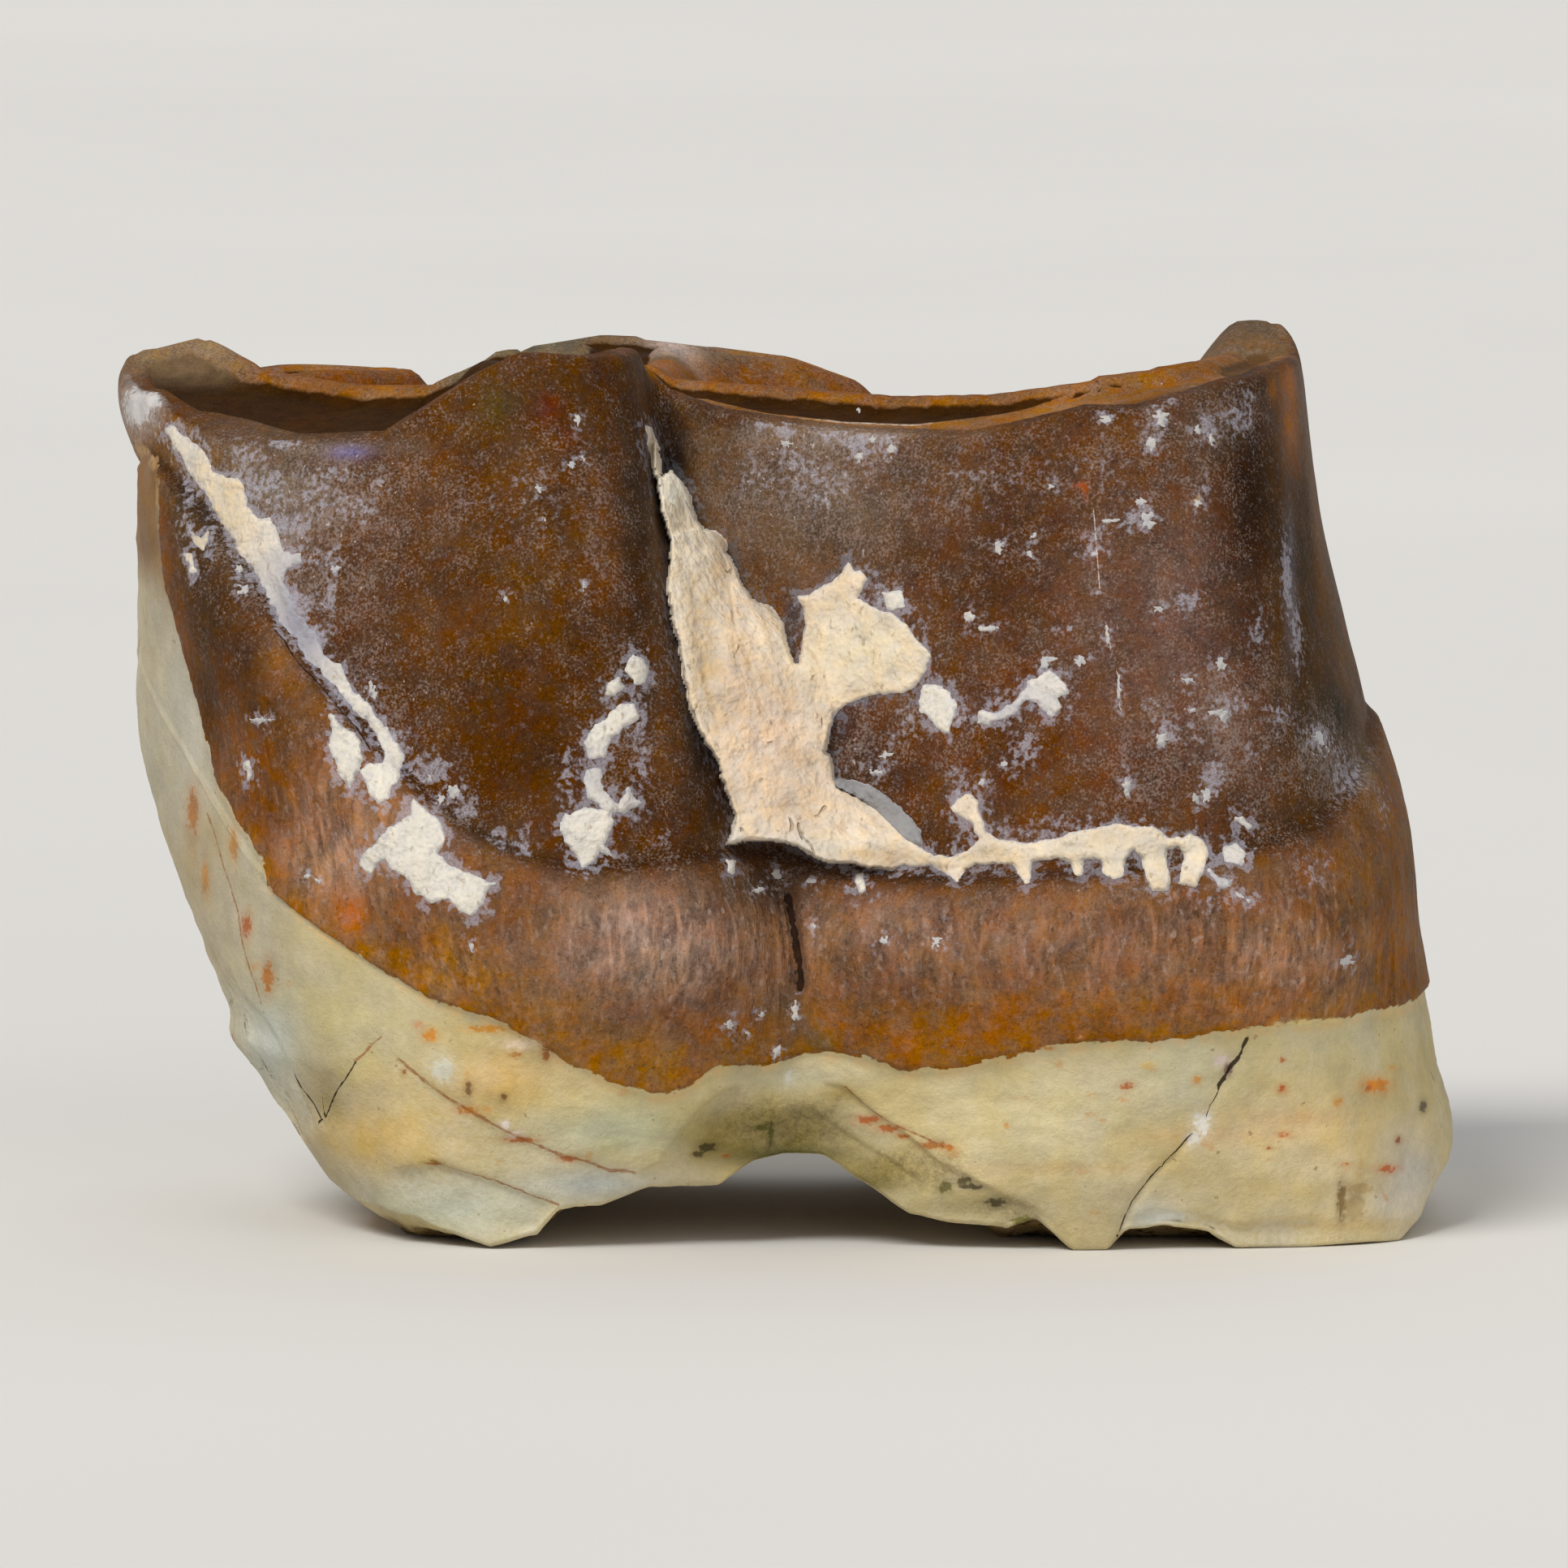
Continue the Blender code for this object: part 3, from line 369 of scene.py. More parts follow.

# Small stains and chips with ragged edges, and a few spots of painted shade, in picture points: x, y, two
# half sizes and a colour.
SPOTS_AND_SHADE = (
    (158, 494, 22, 26, (222, 220, 220)), (176, 488, 13, 15, (226, 224, 222)),
    (327, 1205, 8, 20, (178, 104, 26)), (300, 1142, 7, 15, (172, 80, 20)),
    (530, 1275, 10, 8, (224, 140, 40)), (516, 1262, 7, 4, (216, 160, 120)),
    (600, 1267, 26, 5, (206, 140, 60)), (640, 1286, 22, 6, (236, 214, 190)),
    (673, 1298, 6, 9, (136, 70, 20)), (635, 1299, 8, 4, (170, 100, 30)), (621, 1352, 5, 5, (100, 64, 40)),
    (577, 1341, 5, 9, (120, 84, 56)), (546, 1318, 16, 16, (220, 220, 206)),
    (497, 1322, 4, 5, (150, 90, 40)), (575, 1368, 16, 5, (190, 120, 60)), (640, 1404, 22, 4, (176, 92, 40)),
    (700, 1428, 14, 4, (176, 96, 60)), (622, 1386, 7, 6, (236, 226, 220)),
    (636, 1397, 8, 5, (230, 210, 196)), (536, 1433, 10, 4, (150, 110, 60)),
    # painted shade: the first two spots on this line, dark under the arch between the roots
    (872, 1414, 13, 6, (40, 34, 24)), (860, 1423, 8, 4, (56, 46, 30)), (950, 1397, 4, 17, (70, 68, 40)),
    (940, 1390, 9, 4, (80, 80, 40)), (895, 1425, 5, 3, (150, 80, 40)), (1070, 1380, 15, 6, (176, 80, 26)),
    (1095, 1391, 16, 5, (186, 96, 40)), (1113, 1401, 8, 3, (190, 110, 60)),
    (1150, 1411, 17, 5, (176, 100, 40)), (1168, 1415, 10, 4, (200, 120, 60)),
    (1188, 1456, 11, 6, (56, 50, 28)), (1165, 1464, 10, 8, (84, 80, 40)), (1197, 1463, 15, 4, (40, 34, 24)),
    (1228, 1482, 14, 6, (34, 26, 20)), (1262, 1505, 15, 7, (96, 92, 24)),
    (1020, 1325, 12, 4, (196, 186, 156)), (972, 1327, 5, 9, (216, 216, 204)),
    (1387, 1337, 9, 5, (190, 88, 26)), (1383, 1354, 5, 3, (214, 140, 80)),
    (1345, 1349, 6, 3, (214, 166, 106)), (1412, 1312, 10, 6, (228, 200, 140)),
    (1474, 1330, 6, 6, (222, 160, 90)), (1580, 1342, 6, 6, (190, 84, 44)),
    (1580, 1305, 4, 4, (190, 110, 70)), (1583, 1398, 9, 4, (200, 96, 40)),
    (1565, 1414, 5, 3, (170, 90, 50)), (1650, 1358, 6, 6, (220, 156, 84)),
    (1698, 1338, 17, 9, (228, 134, 20)), (1692, 1343, 9, 4, (186, 84, 8)),
    (1660, 1437, 9, 3, (200, 106, 56)), (1714, 1443, 15, 5, (206, 100, 46)),
    (1728, 1407, 5, 5, (150, 70, 40)), (1720, 1317, 6, 3, (220, 160, 90)), (1760, 1366, 5, 9, (80, 74, 70)),
    (1512, 1318, 6, 9, (110, 80, 80)), (1504, 1306, 9, 8, (228, 210, 206)),
    (1481, 1384, 11, 15, (244, 242, 236)), (1470, 1402, 9, 9, (240, 238, 230)),
    # painted shade: the second spot on this line, the shaded side of a flaked step
    (1445, 1500, 24, 5, (224, 224, 216)), (1656, 1480, 6, 26, (134, 106, 66)),
    (1678, 1466, 20, 7, (186, 162, 120)), (1672, 1490, 14, 20, (186, 164, 124)),
    (1331, 598, 8, 5, (164, 84, 42)), (1338, 611, 3, 9, (146, 72, 34)), (1475, 618, 4, 5, (196, 150, 66)),
    (1575, 1262, 8, 4, (228, 206, 160)), (1605, 1259, 13, 4, (224, 206, 152)),
    (1640, 1257, 9, 3, (228, 206, 150)), (1330, 1275, 6, 4, (214, 150, 110)),
    (1290, 1290, 10, 3, (206, 140, 80)), (1240, 1386, 4, 4, (220, 170, 110)),
    (230, 1000, 8, 30, (176, 118, 70)), (284, 1040, 6, 20, (190, 140, 90)),
    (1572, 476, 6, 16, (146, 94, 44)), (246, 1085, 5, 22, (190, 140, 90)),
)

# Patches of mud crust, as outlines in picture points.
PLUG = (
    (795, 522), (799, 554), (803, 578), (810, 601), (816, 633), (824, 665), (825, 696), (822, 724),
    (826, 756), (836, 795), (842, 835), (852, 878), (869, 914), (884, 941), (892, 973), (897, 984),
    (905, 1007), (903, 1027), (895, 1041), (921, 1037), (953, 1035), (977, 1041), (996, 1053), (1016, 1062),
    (1048, 1065), (1080, 1069), (1099, 1073), (1115, 1067), (1146, 1066), (1150, 1052), (1131, 1045),
    (1115, 1031), (1095, 1011), (1080, 995), (1056, 980), (1032, 968), (1028, 953), (1024, 934),
    (1016, 926), (1022, 906), (1028, 882), (1044, 866), (1030, 840), (1000, 800), (985, 819), (977, 815),
    (972, 795), (965, 767), (953, 748), (937, 742), (925, 736), (915, 720), (905, 696), (894, 677),
    (896, 663), (882, 653), (866, 649), (858, 633), (850, 613), (840, 590), (826, 574), (815, 583),
    (811, 558), (807, 538), (801, 523),
)
SIDE_LOBE = (
    (985, 819), (989, 791), (992, 771), (990, 748), (977, 730), (997, 732), (1016, 720), (1036, 708),
    (1046, 690), (1052, 705), (1060, 703), (1070, 712), (1064, 722), (1058, 736), (1076, 746), (1099, 756),
    (1115, 767), (1131, 791), (1147, 809), (1143, 823), (1127, 847), (1111, 854), (1076, 856), (1044, 866),
    (1028, 882), (1010, 890), (985, 860),
)
LEDGE_STRIP = (
    (1120, 1040), (1147, 1055), (1170, 1055), (1190, 1049), (1206, 1035), (1198, 1015), (1180, 1004),
    (1170, 996), (1180, 984), (1190, 978), (1198, 977), (1204, 988), (1208, 1007), (1214, 1023),
    (1231, 1035), (1259, 1039), (1275, 1037), (1299, 1033), (1318, 1025), (1354, 1019), (1374, 1015),
    (1401, 1019), (1417, 1017), (1437, 1031), (1453, 1031), (1465, 1025), (1482, 1035), (1487, 1051),
    (1480, 1075), (1470, 1092), (1449, 1088), (1453, 1075), (1457, 1055), (1449, 1043), (1437, 1047),
    (1435, 1063), (1441, 1083), (1437, 1096), (1417, 1096), (1411, 1086), (1405, 1059), (1395, 1047),
    (1386, 1057), (1382, 1078), (1370, 1083), (1356, 1075), (1354, 1059), (1334, 1059), (1332, 1077),
    (1324, 1077), (1318, 1065), (1303, 1057), (1271, 1062), (1268, 1088), (1262, 1088), (1255, 1078),
    (1246, 1064), (1222, 1064), (1202, 1065), (1190, 1071), (1178, 1085), (1163, 1075), (1147, 1066),
    (1118, 1067),
)
CREASE_FILL = (
    (193, 520), (205, 520), (226, 534), (247, 554), (259, 578), (274, 586), (291, 583), (298, 600),
    (298, 621), (314, 637), (330, 637), (338, 657), (346, 680), (369, 678), (370, 692), (350, 700),
    (347, 716), (361, 748), (385, 779), (397, 807), (417, 819), (433, 846), (453, 870), (472, 890),
    (485, 913), (500, 930), (497, 943), (491, 962), (480, 985), (467, 991), (456, 977), (445, 953),
    (457, 937), (474, 944), (478, 934), (468, 914), (452, 890), (432, 870), (413, 847), (393, 823),
    (377, 811), (365, 787), (345, 768), (330, 736), (314, 708), (294, 681), (274, 649), (255, 617),
    (235, 590), (214, 558), (199, 534),
)
CRUSTS = (
    ((409, 882), (425, 898), (445, 910), (448, 934), (440, 953), (433, 974), (424, 966), (417, 942),
     (408, 926)),
    ((511, 980), (524, 995), (547, 1015), (550, 1035), (543, 1051), (559, 1067), (583, 1076), (599, 1082),
     (615, 1087), (600, 1098), (599, 1114), (584, 1127), (567, 1120), (555, 1108), (532, 1114), (515, 1098),
     (500, 1079), (484, 1073), (476, 1056), (457, 1075), (440, 1067), (452, 1050), (468, 1035), (488, 1015),
     (507, 1003), (505, 987)),
    ((779, 804), (789, 810), (799, 823), (797, 843), (783, 844), (771, 827)),
    ((747, 847), (763, 834), (773, 847), (759, 859), (748, 857)),
    ((763, 870), (783, 868), (788, 882), (767, 898), (751, 914), (746, 934), (727, 934), (718, 914),
     (732, 898), (748, 886)),
    ((720, 944), (740, 949), (744, 973), (763, 989), (775, 972), (790, 989), (772, 1001), (747, 1001),
     (724, 982)),
    ((698, 1003), (724, 995), (752, 997), (757, 1012), (748, 1039), (755, 1055), (740, 1049), (732, 1063),
     (719, 1071), (708, 1055), (698, 1040), (693, 1015)),
    ((1135, 843), (1156, 843), (1171, 851), (1177, 870), (1167, 902), (1150, 892), (1133, 875)),
    ((1087, 730), (1113, 728), (1115, 748), (1091, 752)),
    ((1261, 848), (1269, 835), (1291, 826), (1312, 842), (1315, 853), (1295, 859), (1307, 872), (1298, 883),
     (1279, 870), (1266, 860), (1251, 878), (1231, 887), (1219, 895), (1203, 892), (1207, 878), (1227, 878),
     (1246, 867)),
    ((1503, 1043), (1524, 1035), (1536, 1051), (1528, 1065), (1508, 1060)),
    ((1487, 1072), (1501, 1080), (1515, 1083), (1514, 1092), (1500, 1091)),
    ((1520, 1096), (1540, 1108), (1537, 1113), (1518, 1102)),
    ((1519, 1007), (1529, 1005), (1542, 1017), (1538, 1023), (1526, 1017)),
    ((231, 654), (243, 660), (252, 652), (254, 668), (246, 680), (236, 670)),
    ((224, 682), (230, 680), (238, 702), (230, 705)), ((298, 940), (305, 936), (308, 956), (303, 966)),
    ((508, 1010), (517, 1006), (516, 1016)), ((1053, 1076), (1062, 1078), (1066, 1098), (1058, 1100)),
    ((895, 1060), (906, 1062), (904, 1076), (897, 1074)),
)

# The thick mud's ridges (and grooves, below zero) as height, half width in mm and line in picture
# points, and its steps, higher on the right of each line, with how far they reach.
MUD_RIDGES = (
    (0.07, 0.08, ((834, 680), (842, 760), (854, 850), (874, 918), (898, 985))),
    (-0.06, 0.07, ((850, 690), (858, 770), (872, 850), (890, 915))),
    (0.05, 0.10, ((872, 680), (882, 740), (896, 800), (912, 862))),
    (-0.08, 0.035, ((893, 688), (899, 728), (907, 776))),
    (0.06, 0.09, ((925, 745), (940, 780), (950, 830))), (-0.05, 0.05, ((915, 790), (926, 830), (940, 880))),
    (-0.05, 0.03, ((904, 1006), (940, 996), (985, 992), (1020, 1010), (1060, 1038), (1105, 1056))),
    (-0.03, 0.05, ((968, 790), (984, 819), (993, 842))), (0.04, 0.05, ((822, 590), (830, 620), (836, 648))),
    (-0.05, 0.05, ((838, 610), (846, 640))), (-0.06, 0.05, ((858, 745), (864, 756))),
    (-0.06, 0.05, ((902, 786), (910, 794))), (-0.05, 0.04, ((880, 690), (884, 706))),
    (-0.05, 0.04, ((866, 806), (872, 820))), (-0.04, 0.04, ((925, 880), (936, 884))),
    (0.04, 0.12, ((1010, 780), (1060, 770), (1100, 800))),
    (-0.03, 0.03, ((1030, 740), (1046, 790), (1040, 840))), (-0.03, 0.03, ((1080, 770), (1076, 820))),
    (-0.04, 0.06, ((930, 920), (960, 950), (955, 985))),
)
MUD_STEPS = (
    (-0.10, 0.9, ((866, 647), (842, 655), (817, 664))),
)

# A slab of the thick mud given a flat grey tint.
SLAB = (
    (1024, 958), (1056, 962), (1080, 971), (1100, 987), (1120, 1006), (1135, 1022), (1136, 1040),
    (1115, 1036), (1095, 1016), (1078, 1000), (1054, 985), (1028, 972),
)

# Tints of the thin crusts' mud.
THIN_MUD = (
    (1090, 1000, 40, 30, (150, 150, 152), 0.0), (372, 760, 44, 90, (136, 134, 150), 0.9),
    (345, 700, 30, 30, (186, 182, 184), 0.5), (235, 660, 30, 30, (196, 176, 140), 0.6),
    (1250, 870, 60, 30, (186, 182, 190), 0.6), (720, 960, 40, 30, (186, 182, 186), 0.5),
    (1500, 1080, 40, 40, (180, 178, 186), 0.6), (790, 1010, 30, 60, (170, 160, 168), 0.6),
    (1190, 975, 16, 24, (196, 192, 192), 0.6),
)

# Tints of all the mud, with some painted light and shade, as marked.
MUD_STAINS_LIGHT_AND_SHADE = (
    # painted light: the first spot on this line lifts the plug's top where the groove shades it
    (840, 600, 50, 80, (246, 238, 216), 1.0), (836, 740, 20, 80, (226, 210, 184), 0.7),
    (868, 800, 22, 80, (206, 184, 150), 0.7), (906, 830, 26, 60, (218, 190, 160), 0.7),
    (950, 900, 50, 70, (230, 200, 172), 0.8), (960, 980, 60, 40, (226, 200, 172), 0.7),
    (1060, 800, 90, 60, (226, 214, 188), 0.85), (1010, 1045, 90, 16, (232, 220, 198), 0.8),
    (806, 550, 12, 40, (172, 146, 104), 0.7), (1390, 1050, 150, 50, (228, 214, 190), 0.85),
    (1200, 1055, 60, 14, (210, 188, 150), 0.7), (1070, 1052, 40, 8, (206, 172, 126), 0.6),
    (270, 620, 60, 80, (214, 192, 154), 0.9), (900, 1030, 12, 20, (230, 222, 206), 0.7),
    # painted shade: the darker tan on the side wall of the plug's upper block
    (885, 690, 10, 24, (190, 162, 126), 0.6),
)

# Small flecks of crust: x, y, half width and half height in picture points.
FLECKS = (
    (1229, 675, 7, 9), (1268, 683, 5, 5), (1194, 762, 7, 9), (1215, 774, 18, 4), (1294, 599, 6, 4),
    (1412, 641, 10, 12), (1405, 619, 7, 6), (1366, 642, 14, 3), (1348, 683, 5, 4), (1427, 752, 7, 5),
    (1502, 819, 7, 9), (1330, 815, 8, 7), (1461, 838, 8, 6), (1433, 478, 10, 11), (1419, 546, 7, 9),
    (1429, 515, 12, 12), (1475, 530, 5, 7), (1492, 542, 6, 8), (1363, 517, 10, 5), (1475, 619, 6, 7),
    (1500, 878, 14, 5), (1507, 884, 8, 7), (1431, 912, 8, 10), (1630, 909, 16, 8), (1646, 921, 12, 6),
    (1386, 970, 6, 14), (1472, 985, 5, 10), (1484, 979, 7, 12), (1468, 875, 5, 4), (1363, 784, 3, 15),
    (1377, 850, 2, 20), (1285, 817, 8, 7), (1290, 812, 12, 3), (1273, 660, 4, 4), (664, 602, 4, 7),
    (711, 517, 5, 9), (705, 573, 5, 5), (718, 566, 4, 4), (672, 642, 3, 4), (720, 722, 4, 6),
    (624, 738, 3, 5), (412, 700, 9, 5), (297, 725, 8, 8), (292, 700, 6, 6), (321, 888, 14, 5),
    (456, 845, 4, 11), (461, 853, 5, 9), (530, 960, 4, 5), (560, 975, 8, 10), (545, 985, 6, 7),
    (1002, 1141, 4, 5), (1089, 1158, 7, 6), (1153, 1160, 9, 8), (1661, 1184, 11, 8), (899, 1264, 7, 9),
    (938, 1251, 6, 5), (921, 1273, 4, 4), (979, 1245, 5, 14), (958, 1297, 5, 7), (583, 1165, 4, 6),
    (378, 1079, 4, 4), (391, 1086, 6, 4), (1705, 921, 6, 6), (1700, 930, 4, 6), (1210, 962, 5, 5),
    (1236, 940, 4, 4), (1093, 930, 8, 5), (1080, 951, 10, 4), (1060, 500, 3, 3), (1075, 540, 6, 5),
    (1098, 552, 5, 8), (969, 545, 7, 6), (1059, 562, 6, 9), (330, 512, 8, 4), (366, 494, 5, 6),
    (1000, 1085, 8, 4), (935, 1096, 8, 5), (957, 1076, 6, 10),
)

# Soft stains of the enamel on the cheek side, of the swollen base and of the root, in picture points:
# x, y, two half sizes, a colour and a strength; some of them are painted light and shade, as marked.
# The mud's and the film's tints have the same form.
ENAMEL_STAINS_AND_SHADE = (
    (977, 760, 11, 34, (58, 60, 68), 0.8), (1038, 893, 16, 26, (46, 48, 60), 0.8),
    (1055, 862, 24, 9, (70, 76, 92), 0.7), (903, 700, 9, 34, (78, 82, 90), 0.8),
    # painted shade: both spots on this line, dark in the gap along the mud's left edge
    (826, 700, 8, 90, (38, 42, 46), 0.7), (856, 900, 12, 60, (44, 46, 48), 0.6),
    (1040, 716, 36, 12, (80, 86, 100), 0.6), (1076, 750, 14, 20, (72, 78, 92), 0.5),
    (620, 700, 130, 330, (88, 52, 14), 0.85), (690, 480, 90, 60, (76, 44, 16), 0.8),
    # painted shade: the first spot on this line, on the lobe's side by the groove, turned from the light
    (785, 700, 22, 260, (48, 29, 14), 0.85), (330, 610, 90, 90, (104, 92, 80), 0.8),
    (430, 760, 130, 120, (82, 52, 32), 0.7), (620, 930, 140, 110, (72, 38, 6), 0.8),
    (240, 730, 44, 150, (66, 48, 30), 0.9), (330, 950, 60, 80, (104, 58, 6), 0.9),
    (300, 830, 40, 60, (74, 46, 20), 0.7), (1000, 620, 170, 90, (98, 82, 68), 0.85),
    (1250, 660, 160, 110, (78, 48, 30), 0.75), (1440, 760, 110, 150, (114, 86, 76), 0.6),
    (1400, 900, 260, 110, (94, 64, 50), 0.6), (1250, 930, 170, 60, (88, 48, 16), 0.8),
    # painted shade: both spots on this line, the dark band where the rear corner turns from the light
    (1540, 600, 40, 190, (38, 22, 12), 0.95), (1612, 690, 36, 270, (60, 38, 2), 0.97),
    (1640, 900, 50, 60, (74, 60, 44), 0.6), (1598, 490, 14, 70, (170, 100, 34), 0.85),
    (1636, 620, 10, 110, (122, 76, 26), 0.8), (1664, 800, 9, 60, (96, 66, 26), 0.8),
    (1592, 720, 8, 90, (116, 112, 118), 0.55), (1648, 880, 26, 40, (44, 38, 22), 0.9),
    # painted shade: the last spot on this line and both on the next, dark in the groove beside the mud
    (1690, 950, 20, 30, (118, 104, 84), 0.7), (845, 700, 22, 120, (44, 36, 32), 0.8),
    (826, 560, 22, 60, (26, 20, 14), 0.9), (870, 880, 18, 110, (36, 28, 24), 0.8),
    (1240, 494, 360, 18, (66, 36, 10), 0.8), (440, 470, 240, 74, (70, 42, 12), 0.7),
    (420, 552, 90, 8, (120, 106, 94), 0.5), (430, 556, 26, 9, (108, 104, 150), 0.7),
    (1000, 535, 120, 14, (128, 108, 88), 0.7), (612, 500, 24, 24, (66, 62, 20), 0.5),
    (675, 505, 16, 18, (104, 32, 18), 0.6), (700, 545, 22, 12, (104, 44, 30), 0.4),
    (1060, 930, 60, 50, (62, 42, 34), 0.7), (600, 1060, 60, 40, (100, 78, 60), 0.5),
    (520, 640, 60, 60, (92, 62, 44), 0.5), (1480, 520, 60, 40, (92, 74, 62), 0.6),
    (1100, 760, 60, 50, (84, 60, 48), 0.5), (1500, 900, 60, 60, (104, 78, 66), 0.5),
)
BULGE_STAINS_HIGHLIGHTS_AND_SHADE = (
    (1122, 1247, 34, 12, (136, 84, 18), 0.8), (1117, 1302, 26, 16, (116, 76, 8), 0.9),
    (1152, 1290, 8, 24, (100, 66, 10), 0.8), (1260, 1254, 34, 22, (134, 80, 8), 0.85),
    (1300, 1290, 40, 12, (120, 88, 56), 0.7), (1180, 1280, 30, 20, (132, 94, 56), 0.6),
    (1200, 1225, 30, 16, (144, 104, 72), 0.7), (1340, 1215, 60, 20, (140, 96, 60), 0.6),
    (1010, 1285, 30, 16, (96, 74, 30), 0.8), (232, 620, 34, 110, (58, 44, 26), 0.95),
    (262, 740, 40, 90, (62, 42, 24), 0.95), (300, 820, 34, 70, (70, 44, 24), 0.9),
    (330, 880, 40, 40, (84, 54, 26), 0.8), (212, 520, 20, 50, (60, 44, 26), 0.8),
    (290, 700, 16, 30, (80, 64, 44), 0.6), (1640, 880, 30, 40, (50, 42, 26), 0.9),
    # painted highlights: the pale pinkish spots at (420, 1050), (800, 1160) and (1580, 1180), where the
    # base bulges
    (1668, 930, 26, 36, (104, 88, 66), 0.8), (420, 1050, 70, 60, (160, 122, 96), 0.9),
    (800, 1160, 120, 70, (158, 128, 110), 0.9), (1120, 1150, 130, 60, (128, 96, 76), 0.9),
    (1350, 1150, 130, 50, (126, 92, 72), 0.8), (1580, 1180, 110, 50, (140, 104, 80), 0.9),
    (560, 1190, 60, 50, (156, 106, 52), 0.8), (330, 960, 34, 90, (106, 60, 10), 0.9),
    (250, 860, 26, 90, (70, 46, 24), 0.9), (1240, 1262, 90, 24, (142, 82, 10), 0.9),
    (1120, 1290, 70, 24, (150, 88, 14), 0.8), (790, 1310, 70, 30, (146, 100, 44), 0.9),
    (680, 1270, 60, 40, (148, 100, 48), 0.8), (430, 1128, 20, 22, (156, 76, 6), 0.8),
    # painted shade: both spots on this line, under the mud's lower edge and down the cleft between the
    # bulges
    (950, 1088, 80, 40, (54, 42, 34), 0.9), (975, 1240, 30, 60, (84, 66, 50), 0.8),
    (1450, 1240, 180, 24, (146, 98, 56), 0.8), (1720, 1170, 24, 60, (134, 82, 30), 0.8),
    (1700, 1050, 40, 70, (110, 74, 44), 0.6),
)
ROOT_STAINS_AND_SHADE = (
    (970, 1398, 60, 36, (112, 98, 54), 0.7), (900, 1410, 50, 30, (132, 112, 66), 0.6),
    (230, 860, 50, 180, (182, 176, 158), 0.9), (240, 1060, 40, 80, (176, 158, 122), 0.8),
    (205, 690, 20, 60, (150, 118, 80), 0.8), (228, 930, 14, 60, (198, 192, 176), 0.7),
    (420, 1250, 90, 60, (196, 184, 138), 0.8), (480, 1400, 90, 46, (206, 174, 104), 0.9),
    (620, 1330, 70, 34, (222, 184, 112), 0.9), (760, 1390, 90, 34, (190, 192, 160), 0.9),
    (560, 1490, 110, 34, (190, 194, 172), 0.9), (730, 1460, 80, 22, (186, 190, 186), 0.9),
    (326, 1290, 34, 56, (192, 198, 188), 0.95), (400, 1345, 30, 36, (150, 136, 100), 0.8),
    (980, 1330, 70, 16, (196, 190, 160), 0.8), (900, 1400, 60, 40, (140, 122, 66), 0.95),
    (1000, 1390, 70, 40, (118, 102, 50), 0.95), (1090, 1440, 70, 26, (136, 120, 72), 0.95),
    # painted shade: the first spot on this line, a dark band under the arch between the roots
    (970, 1426, 70, 14, (76, 76, 26), 0.9), (1060, 1460, 60, 14, (110, 100, 56), 0.8),
    (1040, 1350, 30, 14, (160, 140, 84), 0.7), (1250, 1380, 140, 66, (220, 204, 156), 0.9),
    (1190, 1486, 80, 14, (156, 144, 106), 0.8), (1450, 1320, 60, 50, (204, 200, 170), 0.8),
    (1600, 1420, 120, 60, (222, 196, 144), 0.9), (1752, 1456, 34, 50, (202, 196, 184), 0.9),
    (1650, 1280, 90, 30, (206, 194, 152), 0.8), (1560, 1500, 160, 24, (212, 196, 154), 0.8),
    (1728, 1476, 40, 40, (206, 196, 176), 0.9), (1560, 1440, 100, 40, (206, 192, 146), 0.6),
    (1420, 1500, 30, 20, (204, 206, 196), 0.8), (1640, 1512, 90, 8, (190, 160, 104), 0.7),
    (1300, 1440, 120, 9, (200, 168, 116), 0.5), (1490, 1400, 100, 12, (206, 170, 118), 0.6),
    (1600, 1378, 60, 12, (206, 168, 118), 0.6), (1330, 1370, 80, 50, (206, 196, 160), 0.6),
    (700, 1350, 60, 30, (206, 188, 134), 0.5),
)

# Where the tooth is dustier or, below zero, cleaner, in picture points: x, y, two half sizes, strength.
DUST_SPOTS = (
    (960, 1390, 100, 44, 1.3), (1130, 1440, 90, 34, 1.1), (1240, 1490, 60, 20, 0.9),
    (400, 640, 130, 110, 0.8), (320, 760, 90, 90, 0.5), (480, 870, 80, 60, 0.6), (1000, 590, 140, 90, 0.7),
    (1060, 540, 90, 26, 0.8), (1440, 540, 90, 60, 0.5), (1640, 930, 60, 50, 0.9), (1500, 870, 120, 60, 0.5),
    (1440, 960, 160, 60, 0.5), (560, 1010, 90, 40, 0.5), (1060, 930, 50, 50, 0.6), (760, 900, 50, 100, 0.5),
    (960, 1090, 60, 50, 0.6), (1190, 900, 60, 60, 0.5), (1560, 480, 30, 40, 0.4), (700, 600, 60, 120, 0.2),
    (1690, 960, 30, 60, 0.5), (1550, 1070, 80, 40, 0.4), (640, 920, 110, 110, -0.45),
    (690, 480, 90, 50, -0.4), (1250, 930, 110, 50, -0.4), (1620, 660, 40, 220, -0.5),
    (300, 840, 50, 90, -0.4), (1420, 1000, 160, 30, -0.3), (560, 760, 50, 90, -0.2),
)

